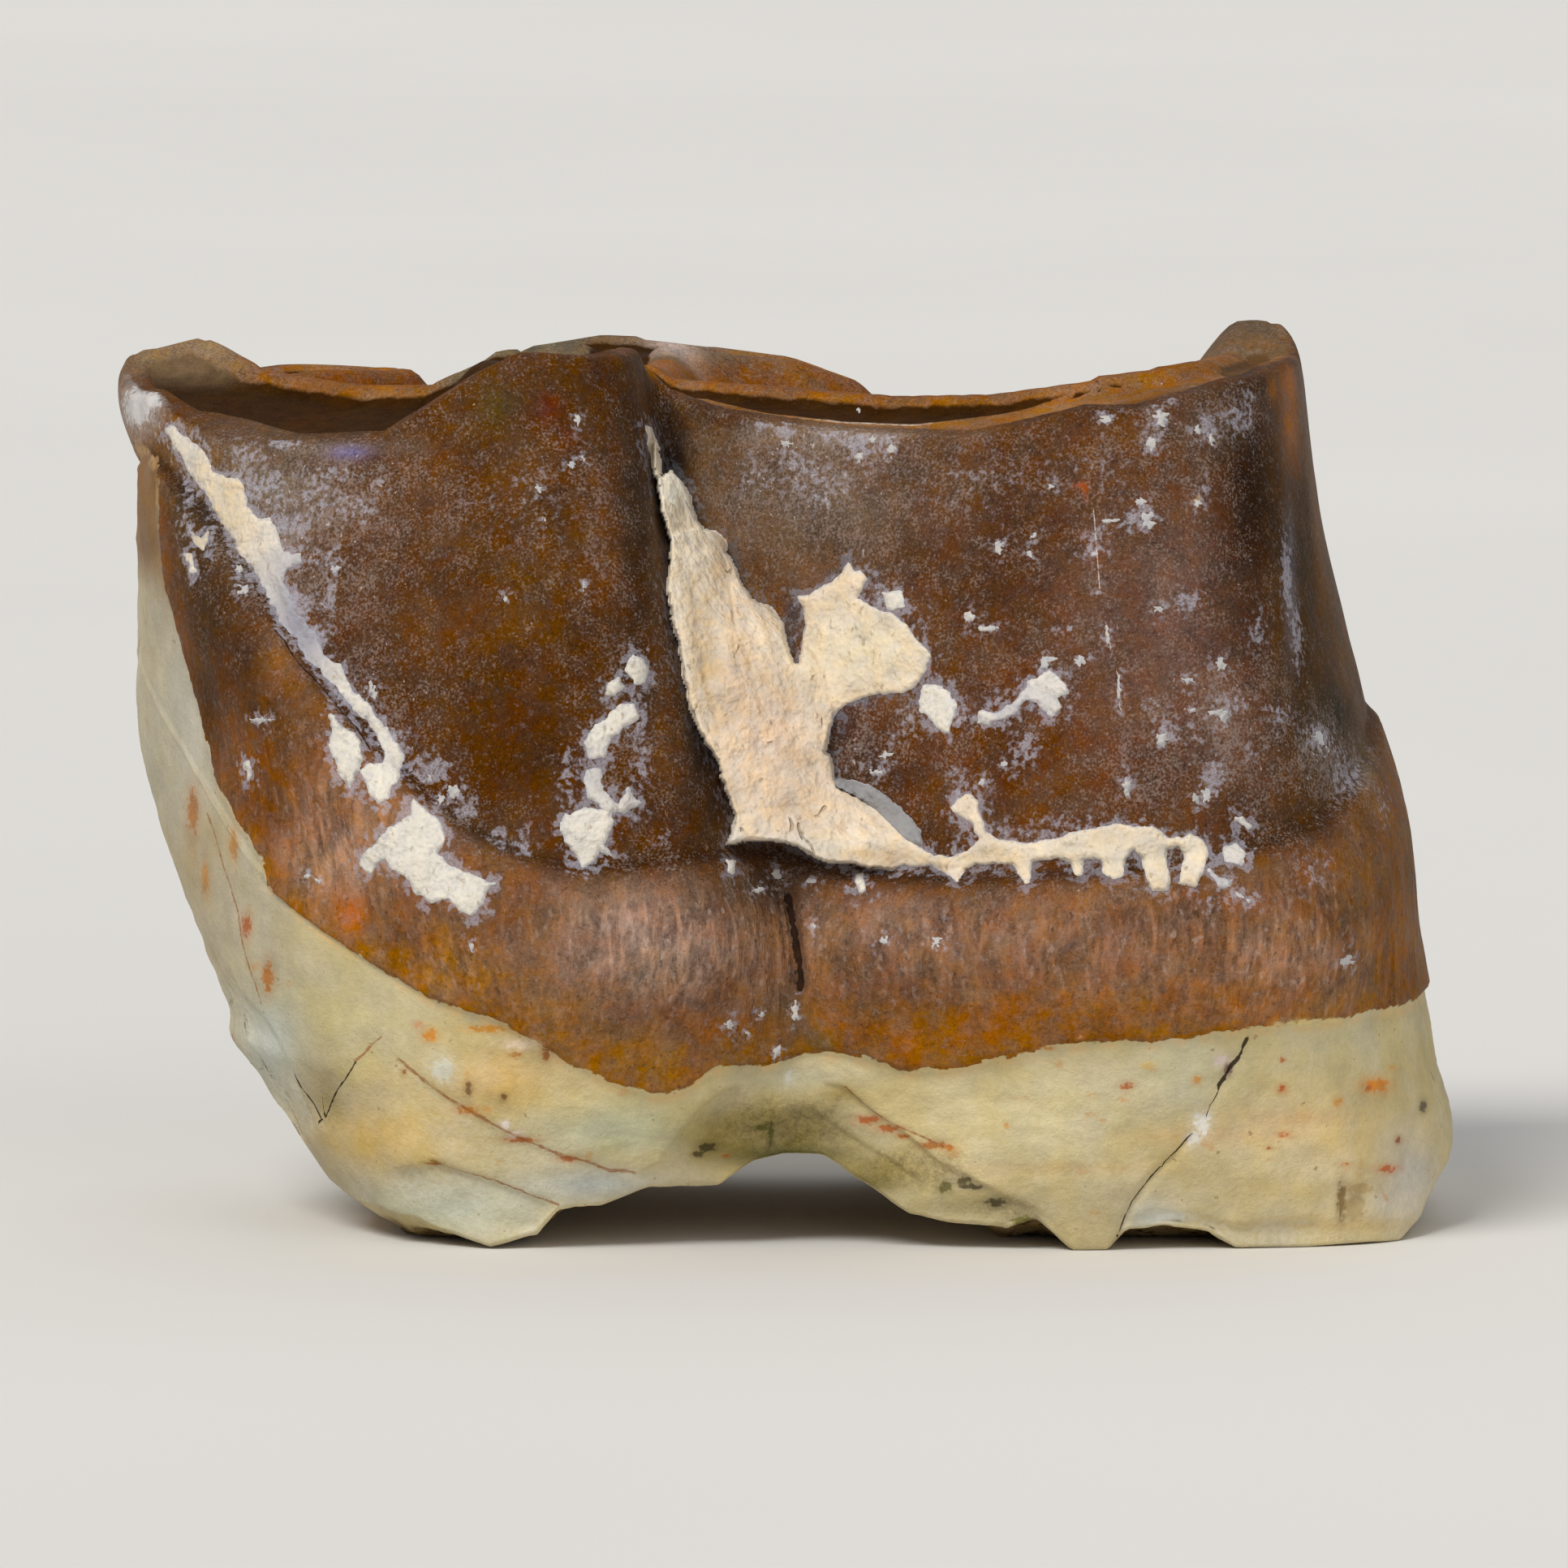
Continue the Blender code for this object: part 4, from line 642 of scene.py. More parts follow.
# Smudges of fine mud dust on the enamel, in the same form.
POWDER = (
    (1404, 641, 24, 16, 0.9), (1344, 674, 26, 16, 0.7), (1461, 740, 20, 14, 0.9), (1549, 777, 12, 24, 0.7),
    (1588, 700, 8, 60, 1.0), (1600, 780, 8, 40, 0.9), (1515, 868, 24, 12, 0.9), (1435, 902, 18, 16, 0.9),
    (1262, 922, 18, 22, 0.8), (1250, 945, 14, 14, 0.6), (1492, 959, 18, 26, 0.9), (1387, 962, 9, 18, 0.8),
    (1629, 908, 24, 16, 1.0), (1663, 950, 22, 28, 1.0), (1711, 985, 12, 30, 0.9), (1617, 1073, 24, 24, 0.5),
    (1574, 880, 20, 14, 0.6), (1315, 777, 22, 7, 0.6), (1350, 725, 6, 12, 0.6), (1470, 905, 26, 12, 0.5),
    (1540, 930, 20, 12, 0.5), (1420, 870, 20, 12, 0.4), (934, 521, 14, 8, 0.8), (964, 528, 16, 12, 0.9),
    (1061, 545, 22, 22, 1.0), (1092, 548, 14, 16, 0.9), (1030, 536, 30, 12, 0.7), (983, 566, 24, 18, 0.7),
    (1010, 600, 40, 26, 0.6), (930, 580, 24, 24, 0.5), (1430, 486, 18, 16, 1.0), (1420, 540, 14, 14, 0.9),
    (1362, 516, 16, 12, 0.8), (1488, 526, 16, 22, 0.8), (1541, 487, 12, 16, 0.6), (1527, 516, 22, 26, 0.7),
    (1391, 642, 22, 6, 0.7), (357, 496, 12, 12, 0.6), (320, 533, 18, 6, 0.7), (345, 543, 22, 8, 0.9),
    (326, 603, 44, 24, 0.75), (413, 583, 40, 18, 0.5), (388, 607, 30, 28, 0.6), (438, 626, 30, 22, 0.65),
    (357, 645, 30, 18, 0.9), (407, 688, 20, 18, 0.7), (407, 738, 10, 24, 0.8), (363, 744, 26, 22, 0.9),
    (388, 781, 24, 18, 0.8), (300, 560, 30, 20, 0.6), (465, 600, 20, 12, 0.5), (487, 911, 22, 20, 0.7),
    (531, 948, 28, 20, 1.0), (568, 975, 16, 12, 0.8), (227, 605, 8, 28, 0.8), (222, 640, 10, 24, 0.7),
    (320, 880, 14, 7, 0.6), (420, 860, 20, 16, 0.6), (290, 700, 14, 34, 0.5), (616, 1032, 14, 14, 0.7),
    (648, 1040, 12, 20, 0.7), (576, 1000, 18, 14, 0.8), (816, 1032, 10, 14, 0.5), (700, 960, 14, 40, 0.6),
    (790, 930, 14, 60, 0.6), (1120, 880, 14, 30, 0.5), (1180, 880, 14, 20, 0.7), (1230, 860, 30, 10, 0.6),
    (1110, 905, 30, 10, 0.5), (1080, 940, 24, 12, 0.5), (1180, 970, 16, 26, 0.6), (1240, 1020, 60, 8, 0.5),
    (1330, 1012, 60, 7, 0.6), (1500, 1110, 30, 14, 0.4), (1090, 730, 26, 20, 0.5), (1140, 770, 12, 24, 0.4),
    (1480, 600, 16, 16, 0.4), (1340, 580, 60, 30, 0.25), (1200, 590, 80, 40, 0.25), (640, 620, 60, 50, 0.2),
    (905, 1256, 16, 12, 0.5), (978, 1245, 10, 18, 0.6), (958, 1296, 12, 10, 0.6), (1700, 925, 14, 14, 0.6),
)

# Where the striae of the base catch the light, in the same form.
SHEEN_SPOTS = (
    (430, 1010, 90, 110, 0.9), (820, 1165, 150, 90, 1.0), (1120, 1150, 160, 70, 0.7),
    (1580, 1180, 130, 70, 1.0), (1350, 1150, 120, 70, 0.7), (560, 1180, 80, 60, 0.6),
    (1450, 1130, 60, 60, 0.8),
)

# Tints of the film round the mud, with painted shade along the mud's left edge and under its lower edge.
FILM_TINTS_AND_SHADE = (
    (900, 680, 50, 60, (70, 78, 82), 0.9), (950, 760, 30, 50, (74, 78, 84), 0.9),
    # painted shade: the last spot on this line and the first on the next, in the gap along the mud's left
    # edge
    (1010, 690, 60, 40, (84, 90, 104), 0.8), (820, 620, 30, 120, (52, 58, 62), 0.9),
    (850, 850, 30, 140, (62, 64, 68), 0.9), (1020, 900, 40, 40, (66, 74, 84), 0.9),
    # painted shade: the last spot on this line, under the mud's lower edge
    (1100, 860, 60, 20, (92, 96, 108), 0.8), (930, 1050, 60, 30, (60, 60, 64), 0.8),
    (1300, 1080, 200, 20, (112, 108, 116), 0.6),
)

# The thick mud's face over the groove: its rows and columns, how far it runs on past the groove's
# sides in landmarks and past the chord as a share, and how far it stands out at the sides and more
# in the middle.
PLUG_ROWS = 60
PLUG_COLUMNS = 25
PLUG_MARGIN = 0.12
PLUG_OVERHANG = 0.1
PLUG_EDGE = 0.16
PLUG_CROWN = 0.10

# Crusts: how far outside its outline a ragged edge may come, the rim that dips under the surface
# and its slope, the least thickness and where it is reached, how far in the mud's own relief is full
# and how its noise is read, the depth of the shell's back, the join to the plug's face and how far in
# it is, and the share of the ridges' height that is built.
RAGGED_REACH = 0.2
DIPPING_RIM = 0.05
RIM_DIP = 1.2
LEAST_MUD = 0.012
LEAST_REACH = 0.03
RELIEF_REACH = 0.12
RELIEF_PER_MM = 1.6
RELIEF_OCTAVES = 6
RELIEF_SHIFT = 1.1
SHELL_BACK = 0.10
BRIDGE_DROP = 0.3
BRIDGE_REACH = 0.05
BRIDGE_SOFTENING = 0.08
RIDGE_SHARE = 0.5

# The corners of a fleck, its least size and how uneven it is, and where its noise is read.
FLECK_CORNERS = 18
FLECK_LEAST = 0.8
FLECK_UNEVEN = 0.95
FLECK_NOISE = (0.37, 0.53, 2.7)

# The crust that is yellower than the others, in picture points.
YELLOW_CRUST = (270, 610, 70, 100)

# The margin round a patch, the box that holds all patches and how near to one a point has to be
# for its distance to count, in picture points.
PATCH_MARGIN = 8
CRUST_BOX = ((150.0, 470.0), (1740.0, 1320.0))
CRUST_NEAR = 30

# Kinds of mud: spacing of its points in picture points; thickness, width of its edge and its own
# relief in mm; raggedness of its edge as size, changes per mm and shift; how squarely the surface
# under it has to face the eye; how white and how light it is.
THICK_MUD = {"step": 2.1, "thickness": 0.08, "edge": 0.03, "relief": 0.04, "facing": 0.0,
             "ragged": ((0.030, 4.0, 3.3), (0.022, 10.0, 7.7), (0.012, 22.0, 2.7)),
             "whiteness": 0.0, "light": 1.0}
SKIN_MUD = {"step": 2.2, "thickness": 0.05, "edge": 0.03, "relief": 0.02, "facing": 0.0,
            "ragged": ((0.050, 4.0, 3.3), (0.035, 9.0, 7.7), (0.020, 21.0, 2.7)),
            "whiteness": 0.9, "light": 1.0}
FLECK_MUD = {"step": 1.5, "thickness": 0.018, "edge": 0.02, "relief": 0.008, "facing": 0.4,
             "ragged": ((0.022, 12.0, 3.3), (0.018, 28.0, 7.7)), "whiteness": 0.9, "light": 0.78}

# Tints from 0 to 255: the enamel's wall and base, the chewing surface, the root, the dentine, and
# what lies on them, with a painted glint and a painted rim highlight; then the mud's, with painted shade
# for its hollows, and the floor's.
TINTS = {
    "enamel": (88, 54, 26), "enamel_tongue": (104, 70, 38), "enamel_front": (132, 94, 54),
    "enamel_rear": (84, 58, 30), "base": (124, 82, 50), "base_edge": (146, 94, 34),
    "base_tongue": (136, 98, 58), "base_rear": (118, 84, 50), "outer_rim": (134, 88, 42),
    "inner_rim": (126, 78, 36), "basin": (122, 78, 40), "basin_floor": (134, 112, 82),
    "front_basin": (112, 62, 20), "far_rim": (112, 92, 68), "grey_rim": (96, 88, 66),
    "pale_patch": (184, 166, 158), "high_front": (136, 112, 82), "rear_knob": (78, 68, 54),
    "knob_side": (122, 98, 72), "root": (200, 184, 140), "root_front": (176, 168, 148),
    "worn_face": (138, 104, 68), "marrow": (176, 148, 98), "canal": (96, 74, 46),
    "core": (52, 28, 2), "core_front": (120, 98, 72), "core_rear": (98, 68, 38),
    "core_knob": (84, 70, 54), "film": (176, 174, 186), "glint": (206, 184, 170),
    "cloud": (150, 142, 144), "haze": (158, 140, 130), "dark_speck": (44, 24, 20),
    "pale_speck": (206, 194, 190), "powder": (178, 174, 184), "rust": (200, 136, 66),
    "pit": (128, 94, 62), "under_edge": (216, 176, 120), "pore": (88, 64, 38),
    "bleached": (206, 204, 188), "core_haze": (150, 130, 112), "painted_rim_line": (206, 190, 172),
    "scratch": (206, 194, 184), "hairline": (44, 30, 20), "seam": (150, 92, 54),
    "crack": (30, 20, 15), "mud": (226, 206, 180), "white_mud": (222, 216, 204),
    "mud_hollow_shade": (176, 146, 106), "mud_rim": (232, 226, 212), "mud_pit": (156, 134, 104),
    "crevice": (150, 122, 88), "thin_mud": (176, 178, 186), "slab": (148, 146, 146),
    "floor": (222, 220, 216),
}


def height_tables():
    """Landmark coordinates at the key heights, and their slopes for a smooth curve between them."""
    xy = np.array([LANDMARKS[name] for name in NAMES])
    slopes = np.gradient(xy, np.array(HEIGHTS), axis=2)
    return xy, slopes


TABLE, TABLE_SLOPES = height_tables()


def cubic(t, start, leave, end, arrive):
    """Smooth curve from start to end at the share t of the way, with its slopes at both."""
    return ((2 * t**3 - 3 * t**2 + 1) * start + (t**3 - 2 * t**2 + t) * leave
            + (3 * t**2 - 2 * t**3) * end + (t**3 - t**2) * arrive)


def landmark_at(index, z):
    """Place of landmark number index at height z; both may be arrays of one shape."""
    knots = np.array(HEIGHTS)
    z = np.clip(z, knots[0], knots[-1])
    low = np.clip(np.searchsorted(knots, z, side="right") - 1, 0, len(knots) - 2)
    span = knots[low + 1] - knots[low]
    t = (z - knots[low]) / span
    return np.stack([cubic(t, TABLE[index, axis, low], TABLE_SLOPES[index, axis, low] * span,
                           TABLE[index, axis, low + 1], TABLE_SLOPES[index, axis, low + 1] * span)
                     for axis in (0, 1)], axis=-1)


def outline(u, z):
    """Point of the tooth's section at height z, u landmarks round from the front pole."""
    whole = np.floor(u).astype(int)
    p0, p1, p2, p3 = (landmark_at((whole + step) % len(NAMES), z) for step in (-1, 0, 1, 2))
    d1, d2, d3 = (np.sqrt(np.linalg.norm(b - a, axis=-1, keepdims=True))
                  for a, b in ((p0, p1), (p1, p2), (p2, p3)))
    leave = ((p1 - p0) / d1 - (p2 - p0) / (d1 + d2) + (p2 - p1) / d2) * d2
    arrive = ((p2 - p1) / d2 - (p3 - p1) / (d2 + d3) + (p3 - p2) / d3) * d2
    return cubic((u - whole)[..., None], p1, leave, p2, arrive)


def outward(u, z):
    """Level unit vector that points out of the section at u and z."""
    step = 0.02
    along = outline(u + step, z) - outline(u - step, z)
    out = np.stack([along[..., 1], -along[..., 0]], axis=-1)
    return out / np.linalg.norm(out, axis=-1, keepdims=True)


def round_the_tooth(u, values):
    """Smooth curve through one value per landmark, read at u."""
    values = np.array(values)
    low = np.floor(u).astype(int)
    before, start, end, after = (values[(low + step) % len(values)] for step in (-1, 0, 1, 2))
    return cubic(u - low, start, (end - before) / 2, end, (after - start) / 2)


def smooth_step(value):
    """0 up to 0, 1 from 1 on, and a smooth passage between."""
    value = np.clip(value, 0.0, 1.0)
    return value * value * (3 - 2 * value)


def fade(value, start, end):
    """The same passage from start to end, and end may be the lower of the two."""
    return smooth_step((value - start) / (end - start))


def soft_max(a, b, softness):
    """The higher of two surfaces, with a rounded join."""
    blend = np.clip(0.5 + (a - b) / (2 * softness), 0.0, 1.0)
    return b + (a - b) * blend + softness * blend * (1 - blend)


def crest_surface(x, y, line, both_sides, end_reach):
    """Height of one worn crest, a tilted flat with a slope beside it, and how far in its edge is."""
    best = np.full(x.shape, np.inf)
    height = np.zeros(x.shape)
    margin = np.zeros(x.shape)
    last = len(line) - 2
    for number, (a, b) in enumerate(zip(line[:-1], line[1:])):
        along = np.array([b[0] - a[0], b[1] - a[1]])
        length = np.hypot(along[0], along[1])
        raw = ((x - a[0]) * along[0] + (y - a[1]) * along[1]) / length**2
        t = np.clip(raw, 0.0, 1.0)
        distance = np.hypot(x - a[0] - t * along[0], y - a[1] - t * along[1])
        left = (along[0] * (y - a[1]) - along[1] * (x - a[0])) / length
        half = a[3] + t * (b[3] - a[3])
        tilt = a[4] + t * (b[4] - a[4])
        past_end = (raw > 1.0) & (number == last)
        before_start = (raw < 0.0) & (number == 0)
        drops = past_end | before_start | (left > 0) | both_sides
        here = np.where(drops, half - distance, half)
        here = np.where(past_end & (left < 0), np.maximum(half, end_reach) - distance, here)
        flat = a[2] + t * (b[2] - a[2]) + tilt * np.clip(left, -TILT_REACH, half)
        over = np.hypot(np.minimum(here, 0.0), CREST_EDGE_ROUND) - CREST_EDGE_ROUND
        fall = VALLEY_SLOPE * over
        nearer = distance < best
        height = np.where(nearer, flat - fall, height)
        margin = np.where(nearer, here, margin)
        best = np.minimum(best, distance)
    return height, margin


def all_crests(x, y):
    """Height of the joined crests, and how far the point is inside the edge of their flats."""
    top, margin = crest_surface(x, y, METALOPHID, True, 0.0)
    for name, line in CRESTS.items():
        height, here = crest_surface(x, y, line, False, END_REACH.get(name, 0.0))
        top = soft_max(top, height, CREST_SOFTENING)
        margin = np.maximum(margin, here)
    return top, margin


def chewing_surface(x, y):
    """Height of the top of the tooth over the point x, y, before the dentine wore down."""
    return soft_max(VALLEY_FLOOR - VALLEY_FALL * y, all_crests(x, y)[0], VALLEY_SOFTENING)


def dentine_depth(x, y, from_edge):
    """How far a point of the top is inside the worn dentine, below zero on enamel."""
    return np.minimum(all_crests(x, y)[1], from_edge) - ENAMEL_WIDTH


def worn_surface(x, y, from_edge):
    """Height of the top with the soft dentine worn hollow between its rims of hard enamel."""
    dip = smooth_step(dentine_depth(x, y, from_edge) / ENAMEL_WIDTH + 0.5)
    pits = noise_at(on_level(x, y), PITS_PER_MM, PITS_SHIFT)
    return chewing_surface(x, y) - dip * (DENTINE_DIP + PIT_DEPTH * pits)


def broken_surface(x, y):
    """Height of the underside: stumps flat on the ground and the arch between the roots."""
    edge, middle, tongue = (np.interp(x, *zip(*line))
                            for line in (BROKEN_EDGE, BROKEN_MIDDLE, BROKEN_TONGUE))
    height = edge + (middle - edge) * fade(y, *CHEEK_BLEND)
    height = np.maximum(height + (tongue - height) * fade(y, *TONGUE_BLEND), 0.0)
    for canal_x, canal_y, half_width, half_length, depth in ROOT_CANALS:
        square = ((x - canal_x) / half_width)**2 + ((y - canal_y) / half_length)**2
        height = height + depth * np.maximum(1 - square, 0.0)**CANAL_ROUNDING
    return height


def broken_face(x, y, from_edge):
    """Height of the underside with the small hollows of the break, none of them below the ground."""
    rough = rough_at(on_level(x, y), BREAK_PER_MM, BREAK_OCTAVES, BREAK_SHIFT)
    return broken_surface(x, y) + smooth_step(from_edge / BREAK_EDGE) * BREAK_DEPTH * np.abs(rough)


def enamel_edge(u):
    """Height of the enamel's lower edge, with its small waves on the cheek side."""
    low = round_the_tooth(u, ENAMEL_EDGE)
    on_cheek = smooth_step(u - WAVE_SPAN[0]) * smooth_step(WAVE_SPAN[1] - u)
    return low + on_cheek * np.interp(outline(u, low)[..., 0], *zip(*EDGE_WAVE))


def swell(u, z):
    """How far the wall stands out from the plain section: crease, swollen base, enamel's edge."""
    below = round_the_tooth(u, CREASE_HEIGHT) - z
    ledge = smooth_step((below + CREASE_LEAD) / CREASE_RISE)
    belly = BELLY_START + (1 - BELLY_START) * smooth_step(below / BULGE_PEAK_DEPTH)
    above_end = 1 - fade(below, BULGE_PEAK_DEPTH, BULGE_FADE_DEPTH)
    enamel = smooth_step((z - enamel_edge(u)) / ENAMEL_TAPER + 0.5)
    out = round_the_tooth(u, BASE_SWELL) * ledge * belly * above_end + ENAMEL_STEP * enamel
    half_way = len(NAMES) / 2
    for place, height, half_width, half_height, rise in LUMPS:
        across = (u - place + half_way) % len(NAMES) - half_way
        square = (across / half_width)**2 + ((z - height) / half_height)**2
        out = out + rise * np.maximum(1 - square, 0.0)**2
    return out


def wall_point(u, z, top, bottom):
    """Point of the outer wall, with the rounding where it meets the two end surfaces."""
    near_top = np.clip((z - (top - RIM_ROUND)) / RIM_ROUND, 0.0, 1.0)
    near_bottom = np.clip(((bottom + ROOT_ROUND) - z) / ROOT_ROUND, 0.0, 1.0)
    inset = (RIM_ROUND * (1 - np.sqrt(1 - near_top**2))
             + ROOT_ROUND * (1 - np.sqrt(1 - near_bottom**2)))
    return outline(u, z) + outward(u, z) * (swell(u, z) - inset)[..., None]


def end_height(u, surface, start):
    """Height at which the wall at u meets an end surface, found by repeated trial."""
    z = np.full(u.shape, start)
    for _ in range(TRIALS):
        flat = outline(u, z) + outward(u, z) * swell(u, z)[..., None]
        z = 0.5 * z + 0.5 * surface(flat[..., 0], flat[..., 1])
    return z


def fine_columns():
    """Places of the wall's columns: even along the wall, and closer together on the cheek side."""
    u = np.linspace(0, len(NAMES), WALK_SAMPLES)
    step = np.zeros(len(u) - 1)
    for z in WALK_HEIGHTS:
        places = outline(u, np.full(u.shape, z))
        step = np.maximum(step, np.linalg.norm(np.diff(places, axis=0), axis=1))
    step *= np.where((u[:-1] > DENSE_SPAN[0]) & (u[:-1] < DENSE_SPAN[1]), CHEEK_DENSITY, 1.0)
    walked = np.concatenate([[0.0], np.cumsum(step)])
    return np.interp(np.linspace(0, walked[-1], COLUMNS + 1)[:-1], walked, u)


def fine_rows(u):
    """Heights of the wall's rows in every column: they follow the break, enamel edge and crease."""
    top = end_height(u, chewing_surface, TOP_GUESS)
    bottom = end_height(u, broken_surface, BOTTOM_GUESS)
    enamel = enamel_edge(u)
    crease = np.minimum(round_the_tooth(u, CREASE_HEIGHT), top - CREASE_BELOW_TOP)
    keys = (bottom, bottom + ROOT_ROUND, enamel - ENAMEL_BAND, enamel + ENAMEL_BAND,
            crease - CREASE_BAND[0], crease + CREASE_BAND[1], top - RIM_ROUND, top)
    rows = []
    for number, (low, high) in enumerate(zip(keys[:-1], keys[1:])):
        parts = np.arange(BAND_ROWS[number]) / BAND_ROWS[number]
        if number == len(BAND_ROWS) - 1:
            parts = np.sin(parts * math.pi / 2)
        rows += [low + (high - low) * part for part in parts]
    rows.append(top)
    return np.array(rows), top, bottom


def depth_inside(polygon, points):
    """How far each point lies inside the polygon's edge, below zero for one outside."""
    start = polygon[None, :, :]
    end = np.roll(polygon, -1, axis=0)[None, :, :]
    side = end - start
    square = (side**2).sum(-1)
    found = []
    for first in range(0, len(points), BLOCK):
        here = points[first:first + BLOCK, None, :]
        crosses = (start[..., 1] > here[..., 1]) != (end[..., 1] > here[..., 1])
        rise = np.where(crosses, end[..., 1] - start[..., 1], 1.0)
        meet = start[..., 0] + (here[..., 1] - start[..., 1]) * (end[..., 0] - start[..., 0]) / rise
        odd = (crosses & (here[..., 0] < meet)).sum(axis=1) % 2 == 1
        t = np.clip(((here - start) * side).sum(-1) / square, 0, 1)
        gap = here - start - t[..., None] * side
        nearest = np.sqrt((gap**2).sum(-1).min(axis=1))
        found.append(np.where(odd, nearest, -nearest))
    return np.concatenate(found)


def bare_front(u, z):
    """How far in mm a point of the wall is inside the front's worn face, which has no enamel."""
    half_way = len(NAMES) / 2
    round_it = ((u + half_way) % len(NAMES) - half_way) * BARE_MM
    places = np.column_stack([round_it.reshape(-1), z.reshape(-1)])
    return depth_inside(np.array(BARE_FACE), places).reshape(z.shape)


def beside_line(line, points):
    """Signed distance of points from an open line, above zero on its left, and the share passed."""
    line = np.array(line, float)
    lengths = np.linalg.norm(np.diff(line, axis=0), axis=1)
    before = np.concatenate([[0.0], np.cumsum(lengths)])
    best = np.full(len(points), np.inf)
    signed = np.zeros(len(points))
    share = np.zeros(len(points))
    for number, (a, b) in enumerate(zip(line[:-1], line[1:])):
        along = (b - a) / lengths[number]
        raw = (points - a) @ along
        walked = np.clip(raw, 0.0, lengths[number])
        gap = points - a - walked[:, None] * along
        distance = np.linalg.norm(gap, axis=1)
        side = along[0] * (points[:, 1] - a[1]) - along[1] * (points[:, 0] - a[0])
        nearer = distance < best
        signed = np.where(nearer, np.where(side > 0, distance, -distance), signed)
        share = np.where(nearer, (before[number] + raw) / before[-1], share)
        best = np.minimum(best, distance)
    return signed, share


def beside_marks(line, seen, past, passage):
    """Distance in mm of picture points from a line, and its strength there, which falls off at its ends."""
    side, share = beside_line(line, seen)
    ends = smooth_step((share + past) / passage) * smooth_step((1 + past - share) / passage)
    return side * PICTURE_STEP, ends


def cap(loop, surface, spacing):
    """New points, their depth inside the edge, and triangles of an end surface inside a closed loop."""
    low = loop.min(axis=0)
    high = loop.max(axis=0)
    rows = np.arange(low[1], high[1], spacing * math.sqrt(3) / 2)
    grid = np.array([(x + (number % 2) * spacing / 2, y) for number, y in enumerate(rows)
                     for x in np.arange(low[0], high[0], spacing)])
    depth = depth_inside(loop, grid)
    kept = depth > CAP_INSET * spacing
    grid = grid[kept]
    depth = depth[kept]
    points = np.vstack([loop, grid])
    edges = [(i, (i + 1) % len(loop)) for i in range(len(loop))]
    flat = [Vector((x, y)) for x, y in points]
    made, _, faces, _, _, _ = delaunay_2d_cdt(flat, edges, [], 1, SAME_POINT)
    if len(made) != len(points):
        raise ValueError("the loop of the end surface crosses itself")
    return np.column_stack([grid, surface(grid[:, 0], grid[:, 1], depth)]), depth, faces


def tooth_shape():
    """Points and faces of the whole tooth, and what its materials need to know of every point."""
    u = fine_columns()
    rows, top, bottom = fine_rows(u)
    count = len(u)
    all_u = np.broadcast_to(u, rows.shape)
    flat = wall_point(all_u, rows, top, bottom)
    points = np.concatenate([flat, rows[..., None]], axis=-1).reshape(-1, 3)
    row, column = np.meshgrid(np.arange(len(rows) - 1), np.arange(count), indexing="ij")
    after = (column + 1) % count
    faces = np.stack([row * count + column, row * count + after, (row + 1) * count + after,
                      (row + 1) * count + column], axis=-1).reshape(-1, 4).tolist()
    bare = bare_front(all_u, rows)
    over_edge = rows - enamel_edge(u)
    facts = {
        "enamel": np.minimum(over_edge, -bare),
        "bare": bare,
        "over_edge": over_edge,
        "crease": rows - round_the_tooth(all_u, CREASE_HEIGHT),
        "rim": rows - top,
        "dentine": rows - top - ENAMEL_WIDTH,
        "part": np.zeros(rows.shape),
        "valley": np.zeros(rows.shape),
    }
    facts = {name: values.reshape(-1) for name, values in facts.items()}
    for last, surface, spacing, part in ((len(rows) - 1, worn_surface, TOP_SPACING, 1),
                                         (0, broken_face, BOTTOM_SPACING, -1)):
        loop = points[last * count:(last + 1) * count, :2]
        added, depth, triangles = cap(loop, surface, spacing)
        first = len(points)
        points = np.vstack([points, added])
        for triangle in triangles:
            corners = [last * count + i if i < count else first + i - count for i in triangle]
            faces.append(corners[::-1] if part < 0 else corners)
        x, y = added[:, 0], added[:, 1]
        new = {"enamel": OFF_WALL * part, "crease": OFF_WALL * part, "over_edge": OFF_WALL * part,
               "bare": -FAR, "part": part, "rim": depth, "valley": -all_crests(x, y)[1] * (part > 0),
               "dentine": dentine_depth(x, y, depth) if part > 0 else -FAR}
        facts = {name: np.concatenate([values, np.broadcast_to(new[name], len(added))])
                 for name, values in facts.items()}
    near_top = (facts["part"] == 1) & (points[:, 1] < NEAR_HALF)
    for line in NEAR_RIMS:
        below, share = beside_line(line, seen_from_front(points))
        here = near_top & (share > 0) & (share < 1)
        edge = np.where(here, -NEAR_RIM_GAIN * PICTURE_STEP * below, FAR)
        facts["dentine"] = np.minimum(facts["dentine"], edge)
    return points, faces, facts


def roughen_roots(points):
    """Move the root's wall in and out a little, leaving the enamel, the ground and the top."""
    share = (smooth_step((ROOT_ROUGH_TOP - points[:, 2]) / ROOT_ROUGH_FADE)
             * smooth_step(points[:, 2] / ROOT_ROUGH_START))
    lift = ROOT_ROUGHNESS * noise_at(points, ROOT_ROUGHNESS_PER_MM)
    away = points[:, :2] / np.maximum(np.linalg.norm(points[:, :2], axis=1, keepdims=True), 1.0)
    points[:, :2] += away * (share * lift)[:, None]
    return points


def noise_at(points, per_mm, shift=0.0):
    """Smooth noise from -1 to 1 at each point; per_mm may be one number or one for each axis."""
    placed = np.asarray(points) * per_mm + shift
    return np.array([noise.noise(Vector(point)) for point in placed])


def rough_at(points, per_mm, octaves, shift=0.0):
    """The same with finer and finer noise added."""
    placed = np.asarray(points) * per_mm + shift
    return np.array([noise.fractal(Vector(point), 1.0, 2.0, octaves) for point in placed])


def seen_from_front(points):
    """Picture points at which points in millimetres are seen from the front."""
    level = points[:, 2] * math.cos(EYE_HEIGHT) + (points[:, 1] + EYE_PIVOT) * math.sin(EYE_HEIGHT)
    return np.column_stack([PICTURE_SIDE / 2 + points[:, 0] / PICTURE_STEP,
                            PICTURE_GROUND - level / PICTURE_STEP])


